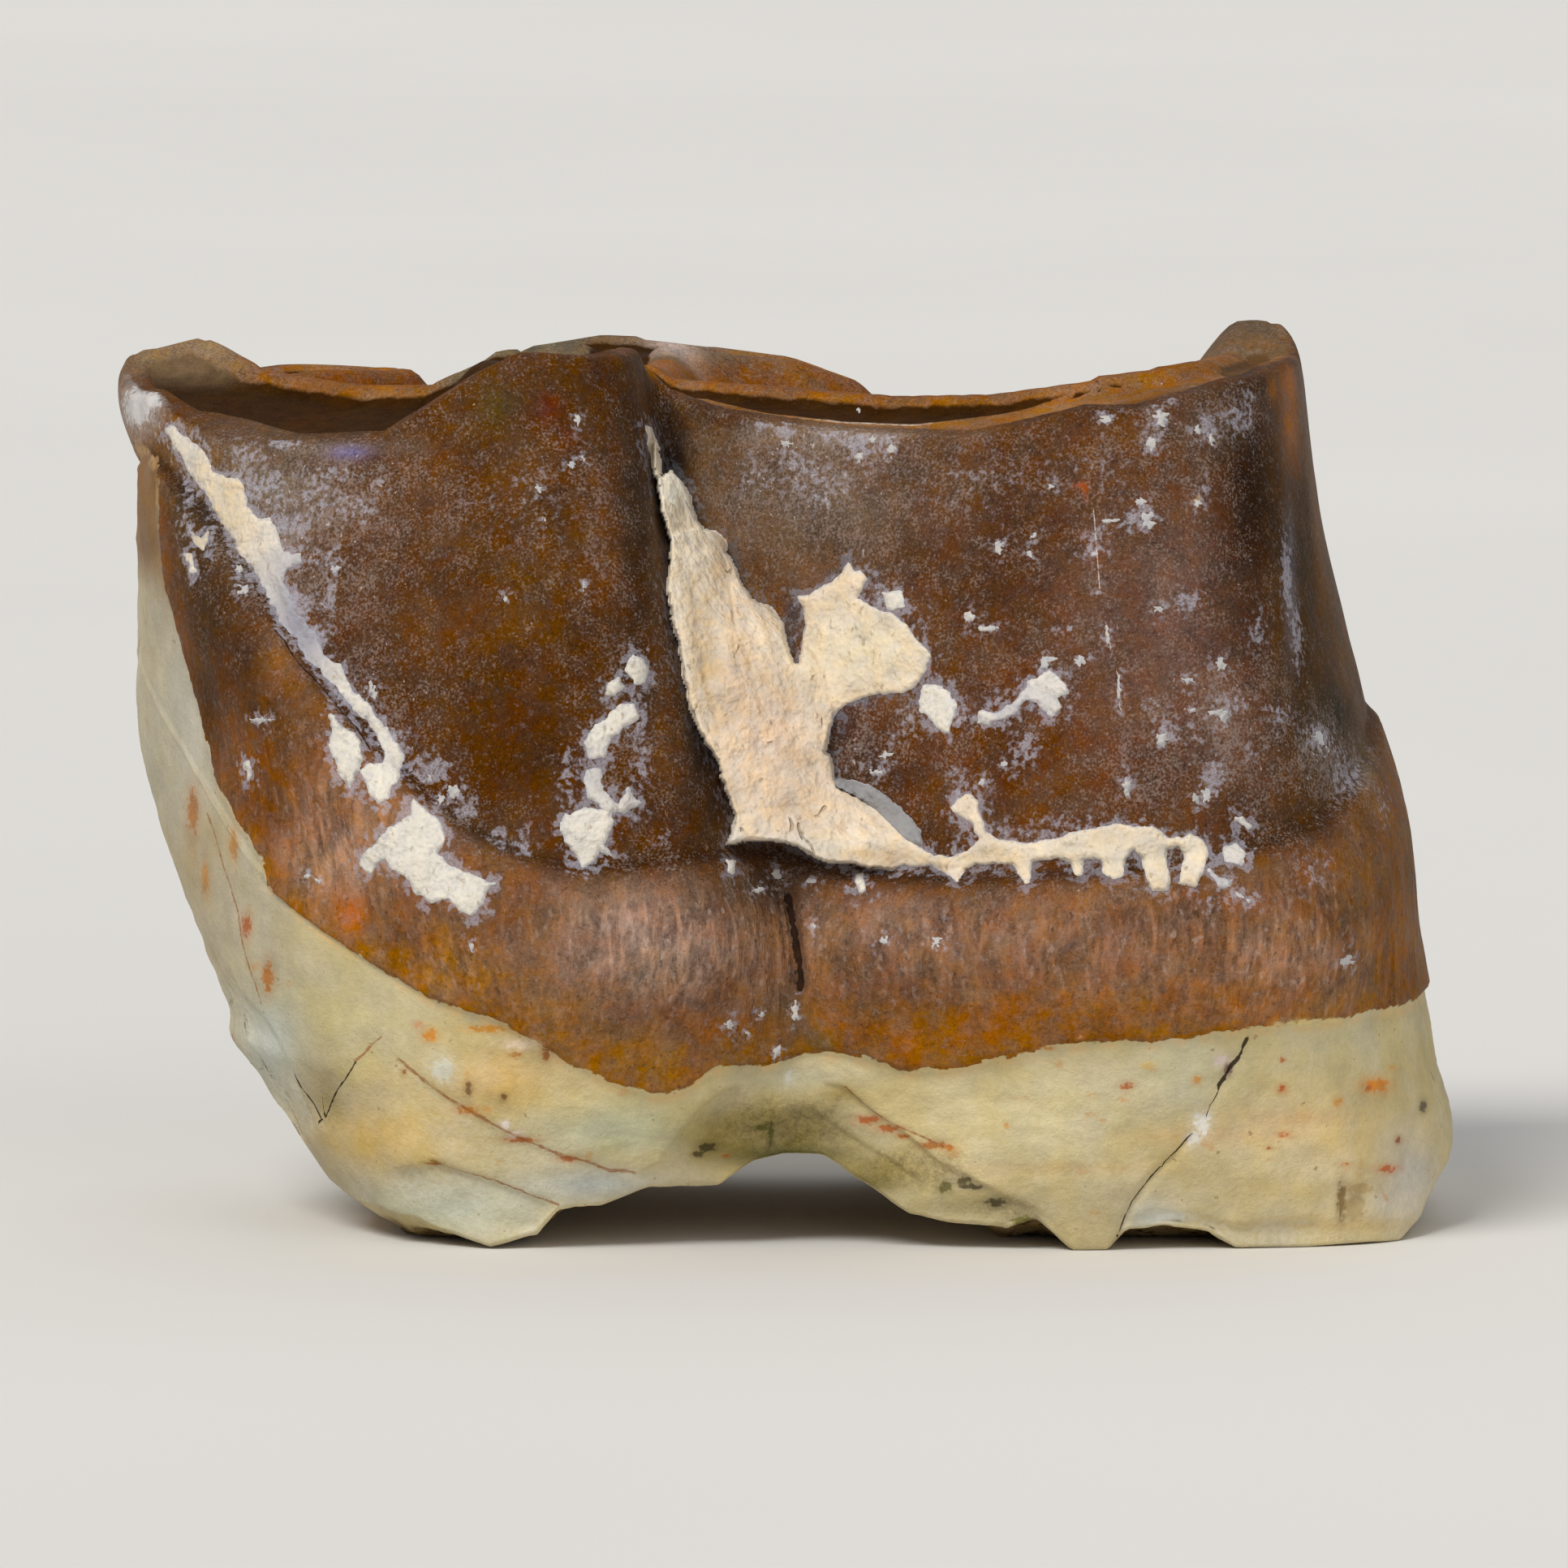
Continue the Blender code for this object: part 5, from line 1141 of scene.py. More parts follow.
def on_level(x, y):
    """Points of the ground plane at x and y."""
    return np.column_stack([x, y, np.zeros(len(x))])


def normals_of(points, faces):
    """Unit normals of the points of a mesh."""
    mesh = bpy.data.meshes.new("normals")
    mesh.from_pydata(points.tolist(), [], faces)
    mesh.update()
    found = np.zeros(len(points) * 3, np.float32)
    mesh.vertex_normals.foreach_get("vector", found)
    bpy.data.meshes.remove(mesh)
    return found.reshape(-1, 3).astype(float)


def carve(points, faces, facts):
    """Give the wall its relief: striae, worn unevenness, flaked layers and cracks."""
    out = normals_of(points, faces)
    seen = seen_from_front(points)
    wall = (facts["part"] == 0).astype(float)
    cheek = smooth_step((-out[:, 1] - CHEEK_LEAN) / CHEEK_PASSAGE) * wall
    on_enamel = smooth_step(facts["enamel"] / SKIN_FADE)
    under_crease = (smooth_step(-facts["crease"] / EDGE_FADE) * on_enamel) * wall
    near_rim = 1 - smooth_step(-facts["rim"] / EDGE_FADE)
    move = WEAR_DEPTH * rough_at(points, WEAR_PER_MM, 3) * wall * (1 - near_rim)
    for depth, per_mm, shift in STRIAE:
        move += depth * under_crease * rough_at(points, per_mm, 2, shift)
    root = (1 - on_enamel) * wall
    above_ground = smooth_step(points[:, 2] / GROUND_FADE)
    move += ROOT_WEAR * root * above_ground * rough_at(points, ROOT_WEAR_PER_MM, 4, 2.0)
    facts["ledge"] = np.zeros(len(points))
    for depth, reach, bleach, line in LEDGES:
        side, ends = beside_marks(line, seen, *LEDGE_ENDS)
        rise = smooth_step((side - LEDGE_LEVEL * reach) / ((1 - LEDGE_LEVEL) * reach))
        below = smooth_step(side / LEDGE_STEP) * (1 - rise)
        move -= depth * below * ends * cheek * above_ground * (1 - on_enamel)
        facts["ledge"] = np.maximum(facts["ledge"], bleach * below * ends * cheek)
    for name, lines in LINES.items():
        nearest = np.full(len(points), LINE_REACH)
        here = np.zeros(len(points))
        width = np.full(len(points), lines[0][0])
        for half_width, depth, line in lines:
            side, ends = beside_marks(line, seen, *LINE_ENDS)
            ends = ends * cheek
            move -= depth * np.exp(-(side / (CUT_WIDENING * half_width + CUT_MARGIN))**2) * ends
            nearer = np.abs(side) < np.abs(nearest)
            nearest = np.where(nearer, side, nearest)
            here = np.where(nearer, ends * smooth_step(2 - 2 * np.abs(side) / LINE_REACH), here)
            width = np.where(nearer, half_width, width)
        facts.update({name + "_side": nearest, name + "_here": here, name + "_width": width})
    over_edge = smooth_step(facts["over_edge"] / ENAMEL_TAPER + 0.5)
    move -= BARE_DEPTH * smooth_step(facts["bare"] / SKIN_FADE) * over_edge * wall * (1 - near_rim)
    return points + out * move[:, None], out


def plain_colour(colour):
    """Linear light of a colour given from 0 to 255, or by its name in TINTS."""
    share = np.array(TINTS.get(colour, colour), float) / 255
    return np.where(share <= 0.04045, share / 12.92, ((share + 0.055) / 1.055)**2.4)


def linear(colour):
    """The same for a node's socket."""
    return (*plain_colour(colour), 1.0)


def laid(colours, other, share):
    """Colours with a share of another laid over: a colour as above, or an array of linear light."""
    if not isinstance(other, np.ndarray):
        other = plain_colour(other)
    return colours + (other - colours) * share


def soft_spot(where, x, y, half_x, half_y):
    """Share of a soft round spot at each place, 1 at its middle."""
    return np.exp(-((where[:, :1] - x) / half_x)**2 - ((where[:, 1:2] - y) / half_y)**2)


def lay_soft_tints(colours, where, spots):
    """Lay soft spots of colour over colours, stains and painted light and shade: each spot has x, y, two
    half sizes, a colour and a strength.
    """
    for *place, colour, strength in spots:
        colours = laid(colours, colour, strength * soft_spot(where, *place))
    return colours


def tooth_colours(points, out, facts):
    """Tints of the tooth's materials, how dusty and powdered each point is, and how strong the painted
    highlights on the base's striae are there.

    The numbers after a coordinate, or a measure of the shape, are where a tint starts and is full.
    """
    seen = seen_from_front(points)
    x, y, z = points[:, :1], points[:, 1:2], points[:, 2:]
    facts = {name: values[:, None] for name, values in facts.items()}
    on_wall = facts["part"] == 0
    cheek = fade(out[:, 1:2], -0.1, -0.45) * on_wall
    toward = fade(out[:, 1:2], -0.02, -0.22) * on_wall
    tongue = fade(out[:, 1:2], 0.1, 0.6)
    ahead = fade(out[:, :1], -0.45, -0.8)
    behind = fade(out[:, :1], 0.55, 0.85)
    broad = rough_at(points, 0.35, 3, 11.0)[:, None]

    def uneven(name, share):
        return plain_colour(name) * (1 + share * broad)

    # The wall's enamel above the crease and on the swollen base below it.
    enamel = laid(plain_colour("enamel"), "enamel_tongue", 0.8 * tongue)
    enamel = laid(enamel, "enamel_front", 0.85 * ahead)
    enamel = laid(enamel, "enamel_rear", 0.7 * behind) * (1 + 0.25 * broad)
    base = laid(uneven("base", 0.3), "base_edge", 0.75 * fade(facts["over_edge"], 1.3, 0.0))
    base = laid(laid(base, "base_tongue", 0.6 * tongue), "base_rear", 0.6 * behind)
    upper = laid(enamel, lay_soft_tints(enamel, seen, ENAMEL_STAINS_AND_SHADE), toward)
    lower = laid(base, lay_soft_tints(base, seen, BULGE_STAINS_HIGHLIGHTS_AND_SHADE), cheek)
    low = fade(facts["crease"], 0.0, -0.6)
    # Painted shade and dirt: the enamel is darker along the crease, more on the cheek side.
    crease_shade_and_dirt = np.exp(-((facts["crease"] + 0.08) / 0.13)**2) * on_wall
    enamel = laid(upper, lower, low) * (1 - (0.2 + 0.3 * cheek) * crease_shade_and_dirt)

    # The chewing surface: the rims of enamel, the walls of the basins and the two knobs.
    near = fade(np.interp(x, *zip(*CHEEK_CRESTS)) - y, 0.25, 0.85)
    front_knob = fade(x, -8.9, -9.7) * fade(z, 14.1, 14.5)
    rear_knob = fade(z, 14.45, 14.95) * fade(x, 7.2, 7.7) * fade(y, 0.5, 1.5)
    outer_rim = laid(uneven("outer_rim", 0.35), lay_soft_tints(enamel, seen, ENAMEL_STAINS_AND_SHADE), near)
    rim = laid(outer_rim, uneven("inner_rim", 0.4), fade(facts["valley"], -0.35, -0.1))
    in_front = fade(x, -4.5, -5.5)
    basin = laid(uneven("basin", 0.35), "basin_floor", 0.7 * fade(z, 12.9, 11.3) * (1 - in_front))
    basin = laid(basin, "front_basin", 0.8 * in_front)
    inner = fade(facts["valley"], 0.0, 0.3)
    far_rim = fade(z, 14.25, 14.55) * (y > 2.5) * (1 - rear_knob)
    grey_rim = fade(x, -6.1, -5.6) * fade(x, -3.2, -3.8) * (1 - near) * (1 - inner)
    pale_patch = np.exp(-((x + 1.95) / 0.42)**2) * fade(y, 2.6, 3.4)
    on_top = laid(rim, basin, inner)
    for name, share in (("far_rim", 0.8 * far_rim), ("grey_rim", 0.8 * grey_rim),
                        ("pale_patch", 0.75 * pale_patch),
                        ("high_front", 0.85 * front_knob * fade(z, 14.2, 14.65)),
                        ("rear_knob", 0.85 * rear_knob)):
        on_top = laid(on_top, name, share)
    enamel = np.where(facts["part"] == 1, on_top, enamel)
    knobs = np.maximum(0.8 * front_knob, 0.5 * rear_knob * fade(facts["rim"], -0.9, 0.0))
    enamel = laid(enamel, "knob_side", knobs * on_wall)

    # The root, its broken end and the dentine between the rims.
    root = laid(uneven("root", 0.22), "root_front", 0.7 * ahead)
    worn_face = fade(z, 10.6, 11.6) * fade(facts["bare"], -0.2, 0.0)
    root = laid(root, uneven("worn_face", 0.4), worn_face)
    root = laid(root, lay_soft_tints(root, seen, ROOT_STAINS_AND_SHADE), np.maximum(cheek, ahead * (out[:, 1:2] < 0)))
    canal = np.max([soft_spot(points, *place) for *place, _ in ROOT_CANALS], axis=0)
    marrow = laid(uneven("marrow", 0.5), "canal", 0.85 * canal)
    root = np.where(facts["part"] == -1, laid(root, marrow, fade(facts["rim"], 0.0, 0.9)), root)
    core = laid(uneven("core", 0.45), "core_front", 0.7 * front_knob)
    core = laid(core, "core_rear", 0.8 * fade(x, 6.2, 7.4))
    core = laid(core, "core_knob", 0.7 * rear_knob)

    dust = 0.04 + 0.12 * cheek
    for *place, strength in DUST_SPOTS:
        dust = dust + (1 - dust) * strength * soft_spot(seen, *place) * cheek
    dust = dust - (0.2 + 0.4 * dust) * low
    # Strength of the painted highlights on the base's striae.
    sheen = np.full(z.shape, 0.25)
    for *place, strength in SHEEN_SPOTS:
        sheen = sheen + (1.6 - sheen) * strength * soft_spot(seen, *place) * cheek
    powder = np.zeros(z.shape)
    halos = tuple((across, up, 1.2 * half_x + 6, 1.2 * half_y + 6, 0.55)
                  for across, up, half_x, half_y in FLECKS)
    for *place, strength in POWDER + halos:
        powder = np.maximum(powder, strength * soft_spot(seen, *place) * cheek)
    return {"enamel_tint": enamel, "root_tint": root, "core_tint": core, "dust": dust, "sheen": sheen,
            "powder": powder, "film_tint": lay_soft_tints(plain_colour("film"), seen, FILM_TINTS_AND_SHADE)}


def tooth_marks(points, out, facts):
    """Where the tooth has small spots, mud film, hairlines, a painted highlight along a worn rim and open
    bone.
    """
    seen = seen_from_front(points)
    on_wall = facts["part"] == 0
    best = np.full(len(seen), -FAR)
    tint = np.zeros((len(seen), 3))
    for x, y, half_x, half_y, colour in SPOTS_AND_SHADE:
        inside = 1 - np.hypot((seen[:, 0] - x) / half_x, (seen[:, 1] - y) / half_y)
        nearer = inside > best
        best[nearer] = inside[nearer]
        tint[nearer] = plain_colour(colour)
    film = np.where(on_wall & (out[:, 1] < 0), crust_distance(seen), -FAR)
    # Painted highlight along the worn rim of the cheek side, within this span across.
    rim_highlight_share = fade(seen[:, 0], *RIM_HIGHLIGHT_START) * fade(seen[:, 0], *RIM_HIGHLIGHT_END)
    return {"spot": np.where(on_wall & (out[:, 1] < 0.1), np.maximum(best, NO_SPOT), NO_SPOT),
            "spot_tint": tint,
            "film": np.maximum(film, NO_FILM),
            "hidden": fade(out[:, 1], -0.35, -0.05) * on_wall,
            "rim_highlight_share": rim_highlight_share * fade(facts["rim"], 1.5, 1.3) * (points[:, 1] < -2.0),
            "broken": fade(facts["rim"], 0.25, 0.75) * (facts["part"] == -1)}


def crust_distance(seen):
    """How far points of the front view are inside the nearest patch of mud, in millimetres."""
    depth = np.full(len(seen), -FAR_POINTS)
    near = np.all((seen > CRUST_BOX[0]) & (seen < CRUST_BOX[1]), axis=1)
    here = seen[near]
    found = np.full(len(here), -FAR_POINTS)
    for patch in (PLUG, SIDE_LOBE, LEDGE_STRIP, CREASE_FILL) + CRUSTS:
        shape = np.array(patch, float)
        close = np.all((here > shape.min(0) - CRUST_NEAR) & (here < shape.max(0) + CRUST_NEAR), axis=1)
        if close.any():
            found[close] = np.maximum(found[close], depth_inside(shape, here[close]))
    depth[near] = found
    return depth * PICTURE_STEP


def mesh_object(name, points, faces, material):
    """One mesh object at its real size in metres, riding on the tooth's body."""
    points = points + np.array([MIDDLE_SHIFT[0], MIDDLE_SHIFT[1], 0.0])
    mesh = bpy.data.meshes.new(name)
    mesh.from_pydata((points * MM).tolist(), [], faces)
    mesh.validate()
    mesh.shade_smooth()
    mesh.materials.append(material)
    made = bpy.data.objects.new(name, mesh)
    bpy.context.scene.collection.objects.link(made)
    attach(made, "root")
    return made


def keep_value(made, name, values):
    """Store one number, or one colour, for each point of a mesh."""
    kind, field = "FLOAT", "value"
    if values.shape[1:] == (3,):
        kind, field = "FLOAT_COLOR", "color"
        values = np.column_stack([np.clip(values, 0.0, 1.0), np.ones(len(values))])
    stored = made.data.attributes.new(name, kind, "POINT").data
    stored.foreach_set(field, values.astype(np.float32).ravel())


class Finish:
    """A material and short calls for its nodes, whose patterns are measured in millimetres.

    Inputs of a node are numbers, colours or other nodes' outputs.  The shift of a noise moves it, so
    that no two patterns are alike.
    """

    def __init__(self, name):
        self.material = bpy.data.materials.new(name)
        self.material.use_nodes = True
        self.nodes = self.material.node_tree.nodes
        self.links = self.material.node_tree.links
        self.shader = self.nodes["Principled BSDF"]
        placed = self.nodes.new("ShaderNodeTexCoord").outputs["Object"]
        self.place = self.node("ShaderNodeVectorMath", (placed, (1 / MM,) * 3), operation="MULTIPLY")

    def node(self, kind, inputs, output=0, **settings):
        made = self.nodes.new(kind)
        for key, value in settings.items():
            setattr(made, key, value)
        for socket, value in (inputs.items() if isinstance(inputs, dict) else enumerate(inputs)):
            if isinstance(value, bpy.types.NodeSocket):
                self.links.new(value, made.inputs[socket])
            else:
                made.inputs[socket].default_value = value
        return made.outputs[output]

    def known(self, name):
        """What the mesh stores under a name: a number, or a colour where the name ends in tint."""
        output = "Color" if name.endswith("tint") else "Fac"
        return self.node("ShaderNodeAttribute", (), output, attribute_name=name)

    def math(self, operation, first, *others):
        """One operation on one value, or from value to value in their order."""
        for other in others or (0.0,):
            first = self.node("ShaderNodeMath", (first, other), operation=operation)
        return first

    def add(self, *values):
        return self.math("ADD", *values)

    def times(self, first, *others):
        return self.math("MULTIPLY", first, *others) if others else first

    def step(self, value, start, end, low=0.0, high=1.0):
        """A smooth passage from low, where the value is start, to high, where it is end."""
        return self.node("ShaderNodeMapRange", (value, start, end, low, high),
                         interpolation_type="SMOOTHSTEP")

    def spread(self, pattern, low, high, span=MOST_NOISE):
        """A pattern of noise, most of which lies in its span, brought to low ... high."""
        return self.step(pattern, *span, low, high)

    def noise(self, per_mm, detail=2.0, stretch=(1.0, 1.0, 1.0), shift=0.0, wave=0.0):
        moved = self.node("ShaderNodeVectorMath", {0: self.place, 1: stretch, 2: (shift,) * 3},
                          operation="MULTIPLY_ADD")
        return self.node("ShaderNodeTexNoise",
                         {"Vector": moved, "Scale": per_mm, "Detail": detail, "Distortion": wave})

    def paint(self, colour, other, *shares):
        """The colour with a product of shares of another over it, which may be a name in TINTS."""
        other = linear(other) if isinstance(other, str) else other
        inputs = {0: self.times(*shares), 6: colour, 7: other}
        return self.node("ShaderNodeMix", inputs, 2, data_type="RGBA")

    def toned(self, colour, value, saturation=1.0, hue=0.5):
        return self.node("ShaderNodeHueSaturation",
                         {"Color": colour, "Value": value, "Saturation": saturation, "Hue": hue})

    def finish(self, colour, rough, specular, relief):
        """Join colour, roughness and relief in mm to the shader, and give its material."""
        bump = self.node("ShaderNodeBump", {"Height": relief, "Distance": MM, "Strength": 1.0})
        for socket, value in (("Base Color", colour), ("Roughness", rough), ("Normal", bump)):
            self.links.new(value, self.shader.inputs[socket])
        self.shader.inputs["Specular IOR Level"].default_value = specular
        return self.material


def line_mark(f, name, ragged):
    """Share of a crack, seam or scratch that is drawn here, with a ragged edge."""
    width = f.times(f.known(name + "_width"), f.spread(ragged, 0.45, 1.35))
    across = f.math("DIVIDE", f.math("ABSOLUTE", f.known(name + "_side")), width)
    return f.times(f.step(across, 1.25, 0.75), f.step(f.known(name + "_here"), 0.2, 0.6))


def tooth_finish():
    """Brown polished enamel, ivory root and dark worn dentine, each with its own grain."""
    f = Finish("tooth_surface")
    enamel_height = f.known("enamel")
    dust = f.known("dust")
    broad = f.noise(0.9, 4.0)
    middle = f.noise(3.0, 4.0, shift=4.0)
    fine = f.noise(10.0, 3.0, shift=8.0)
    grain = f.noise(26.0, 2.0, shift=12.0)
    salt = f.noise(48.0, 1.0, shift=16.0)
    striae = f.noise(4.5, 3.0, stretch=(1.0, 1.0, 0.3), shift=3.0, wave=0.5)
    lines = f.noise(10.0, 3.0, stretch=(1.0, 1.0, 0.24), shift=6.0, wave=0.4)
    ragged = f.noise(6.0, 4.0, shift=90.0)

    # Enamel: its own tone with striae on the base, lit by painted highlights and glints where the sheen is,
    # then clouds and haze of dust, specks and mud film.
    base = f.step(f.known("crease"), -0.1, -0.9)
    gritty = f.add(f.spread(grain, -0.20, 0.22), f.spread(salt, -0.12, 0.14))
    streaks = f.add(f.step(striae, 0.38, 0.68, -0.14, 0.34), f.step(lines, 0.4, 0.7, -0.08, 0.18))
    value = f.add(f.spread(broad, 0.82, 1.18), f.spread(middle, -0.11, 0.13), f.spread(fine, -0.12, 0.14),
                  f.times(gritty, f.math("SUBTRACT", 1.0, f.times(base, 0.55))),
                  f.times(streaks, base, f.known("sheen")))
    hue = f.spread(f.noise(1.7, 3.0, shift=20.0), 0.496, 0.506)
    enamel = f.toned(f.known("enamel_tint"), value, f.spread(middle, 0.88, 1.12), hue)
    glint = f.step(f.noise(8.0, 4.0, stretch=(1.0, 1.0, 0.6), shift=18.0), 0.56, 0.72)
    enamel = f.paint(enamel, "glint", glint, base, f.known("sheen"), 0.24)
    cloud = f.add(f.spread(f.noise(1.8, 5.0, shift=30.0), -0.4, 0.4, WIDE_NOISE),
                  f.spread(f.noise(6.5, 4.0, shift=34.0), -0.3, 0.3, WIDE_NOISE), dust)
    crumbs = f.add(f.noise(22.0, 4.0, shift=26.0), f.times(cloud, 0.21))
    haze = f.times(f.step(crumbs, 0.53, 0.84), f.step(enamel_height, 0.15, 1.1, 0.26, 0.5))
    enamel = f.paint(enamel, "cloud", f.step(cloud, 0.85, 1.5), 0.30)
    enamel = f.paint(enamel, "haze", haze)
    enamel = f.paint(enamel, "dark_speck", f.step(f.noise(12.0, 4.0, shift=38.0), 0.60, 0.72), 0.45)
    speck = f.add(f.noise(13.0, 4.0, shift=40.0), f.times(dust, 0.11))
    enamel = f.paint(enamel, "pale_speck", f.step(speck, 0.725, 0.79), 0.6)
    smudge = f.add(f.known("powder"), f.spread(f.noise(9.0, 6.0, shift=46.0), -0.42, 0.42))
    smudge = f.times(f.step(smudge, 0.28, 0.85),
                     f.step(f.noise(30.0, 2.0, shift=48.0), 0.3, 0.6, 0.35, 0.95))
    enamel = f.paint(enamel, "powder", smudge, 0.68)
    film = f.add(f.known("film"), f.spread(f.noise(6.5, 4.0, shift=44.0), -0.20, 0.20, WIDE_NOISE))
    halo = f.times(f.step(film, -0.13, 0.0), f.step(grain, 0.3, 0.6, 0.45, 0.85))
    enamel = f.paint(enamel, f.known("film_tint"), halo, 0.62)

    # Root: coarser where it is dusty, with rust, pits, a warm line under the enamel and open bone.
    coarse = f.add(f.spread(f.noise(9.0, 5.0, shift=52.0), -0.22, 0.14), f.spread(grain, -0.10, 0.10))
    value = f.add(f.spread(broad, 0.93, 1.06), f.spread(middle, -0.05, 0.05), f.spread(fine, -0.03, 0.03),
                  f.spread(grain, -0.03, 0.03), f.times(coarse, f.step(dust, 0.0, 0.5)))
    root = f.toned(f.known("root_tint"), value, f.spread(f.noise(1.2, 3.0, shift=50.0), 0.88, 1.1))
    root = f.paint(root, "rust", f.step(f.noise(2.3, 4.0, shift=60.0), 0.66, 0.76), 0.4)
    root = f.paint(root, "pit", f.step(f.noise(6.0, 2.0, shift=70.0), 0.72, 0.76), 0.5)
    under_edge = f.step(f.math("ABSOLUTE", f.add(enamel_height, 0.10)), 0.16, 0.0)
    root = f.paint(root, "under_edge", under_edge, f.step(middle, 0.42, 0.6, 0.0, 0.45))
    pore = f.times(f.step(f.noise(5.0, 5.0, shift=72.0), 0.52, 0.66), f.known("broken"),
                   f.step(fine, 0.35, 0.6, 0.4, 0.75))
    root = f.paint(root, "pore", pore)
    root = f.paint(root, "bleached", f.known("ledge"), f.step(fine, 0.35, 0.65, 0.2, 0.55))
    wander = f.add(f.spread(f.noise(1.6, 3.0, shift=80.0), -0.06, 0.06, WIDE_NOISE),
                   f.spread(f.noise(7.0, 4.0, shift=84.0), -0.035, 0.035, WIDE_NOISE))
    is_enamel = f.step(f.add(enamel_height, wander), -0.014, 0.016)
    colour = f.paint(root, enamel, is_enamel)

    # Worn dentine, and the painted highlight line round it on part of the cheek side's rim.
    value = f.add(f.spread(middle, 0.8, 1.2), f.spread(grain, -0.14, 0.16))
    core = f.toned(f.known("core_tint"), value, 1.0, hue)
    core = f.paint(core, "core_haze", haze, 0.12)
    is_core = f.step(f.add(f.known("dentine"), f.spread(middle, -0.03, 0.03, WIDE_NOISE)), -0.04, 0.04)
    colour = f.paint(colour, core, is_core)
    beside = f.step(f.math("ABSOLUTE", f.add(f.known("dentine"), 0.05)), 0.13, 0.05)
    colour = f.paint(colour, "painted_rim_line", beside, f.known("rim_highlight_share"), f.step(fine, 0.35, 0.6, 0.15, 0.75))

    # Single spots and lines, and fine hairlines on the sides that the front view doesn't show.
    spot = f.add(f.known("spot"), f.spread(f.noise(11.0, 4.0, shift=94.0), -0.28, 0.28))
    glow = f.times(f.step(f.known("spot"), -1.3, 0.3), f.spread(fine, 0.15, 0.35))
    spot = f.math("MAXIMUM", glow, f.times(f.step(spot, -0.3, 0.45), 0.8))
    colour = f.paint(colour, f.toned(f.known("spot_tint"), f.spread(middle, 0.8, 1.0), 1.1), spot)
    colour = f.paint(colour, "scratch", line_mark(f, "scratch", ragged),
                     f.step(fine, 0.38, 0.55, 0.15, 0.8))
    bent = f.node("ShaderNodeVectorMath", (f.place, (1.0, 1.0, 0.25)), operation="MULTIPLY")
    bent = f.node("ShaderNodeVectorMath", (bent, f.spread(f.noise(0.9, 3.0), 0.23, 0.47)), operation="ADD")
    web = f.node("ShaderNodeTexVoronoi", {"Vector": bent, "Scale": 0.5}, feature="DISTANCE_TO_EDGE")
    colour = f.paint(colour, "hairline", f.step(web, 0.012, 0.003),
                     f.step(f.noise(0.7, 2.0, shift=74.0), 0.47, 0.58), f.known("hidden"), 0.5)
    colour = f.paint(colour, "seam", line_mark(f, "seam", ragged), f.step(fine, 0.3, 0.6, 0.25, 0.75))
    colour = f.paint(colour, "crack", line_mark(f, "crack", ragged), 0.9)

    rough = f.add(f.spread(fine, 0.34, 0.48), f.times(haze, 0.4), f.times(halo, 0.4))
    relief = f.add(f.times(streaks, is_enamel, base, 0.035), f.spread(fine, 0.0, 0.008, WHOLE_NOISE),
                   f.spread(grain, 0.0, 0.004, WHOLE_NOISE))
    return f.finish(colour, rough, 0.012, f.math("SUBTRACT", relief, f.times(pore, 0.09)))


def mud_finish():
    """Dry cream mud, whiter where it is thin, with fine pits and crumbs."""
    f = Finish("dried_mud")
    broad = f.noise(1.1, 4.0)
    middle = f.noise(4.0, 4.0, shift=5.0)
    fine = f.noise(14.0, 3.0, shift=9.0)
    value = f.add(f.spread(broad, 0.92, 1.05), f.spread(middle, -0.06, 0.06), f.spread(fine, -0.05, 0.05))
    colour = f.toned(f.known("mud_tint"), value, f.spread(middle, 0.8, 1.2))
    pits = f.step(f.noise(8.0, 4.0, stretch=(1.0, 1.0, 0.7), shift=14.0), 0.62, 0.72)
    colour = f.paint(colour, "mud_pit", pits, 0.6)
    wavy = f.noise(1.3, 1.5, stretch=(1.0, 1.0, 0.55), shift=18.0)
    crevice = f.times(f.step(f.math("ABSOLUTE", f.math("SUBTRACT", wavy, 0.5)), 0.022, 0.004),
                      f.step(f.noise(2.4, 3.0, shift=22.0), 0.56, 0.66),
                      f.step(f.known("thickness"), 0.06, 0.14))
    colour = f.paint(colour, "crevice", crevice, 0.5)
    thin = f.step(f.add(f.known("thickness"), f.spread(fine, -0.02, 0.02)), 0.045, 0.005)
    colour = f.paint(colour, "thin_mud", thin, 0.55)
    relief = f.add(f.spread(middle, 0.0, 0.026, WHOLE_NOISE), f.spread(fine, 0.0, 0.009, WHOLE_NOISE),
                   f.spread(f.noise(1.5, 3.0, shift=26.0), 0.0, 0.10, WIDE_NOISE))
    return f.finish(colour, f.spread(fine, 0.8, 1.0, WHOLE_NOISE), 0.2,
                    f.math("SUBTRACT", relief, f.times(crevice, 0.05)))


def rays_at(places):
    """Start of the line of sight through each picture point, and the direction of all of them."""
    x = (places[:, 0] - PICTURE_SIDE / 2) * PICTURE_STEP
    level = (PICTURE_GROUND - places[:, 1]) * PICTURE_STEP
    z = (level - (SIGHT_START + EYE_PIVOT) * math.sin(EYE_HEIGHT)) / math.cos(EYE_HEIGHT)
    starts = np.column_stack([x, np.full(len(places), SIGHT_START), z])
    return starts, np.array([0.0, math.cos(EYE_HEIGHT), -math.sin(EYE_HEIGHT)])


def sight_depth(tree, places, facing=0.0):
    """Distance along the line of sight to a surface, infinite where it is missed or turned too far."""
    starts, along = rays_at(places)
    along = Vector(along)
    found = [tree.ray_cast(Vector(start), along, SIGHT_REACH) for start in starts]
    return np.array([np.inf if distance is None or abs(normal.dot(along)) < facing else distance
                     for _, normal, _, distance in found])


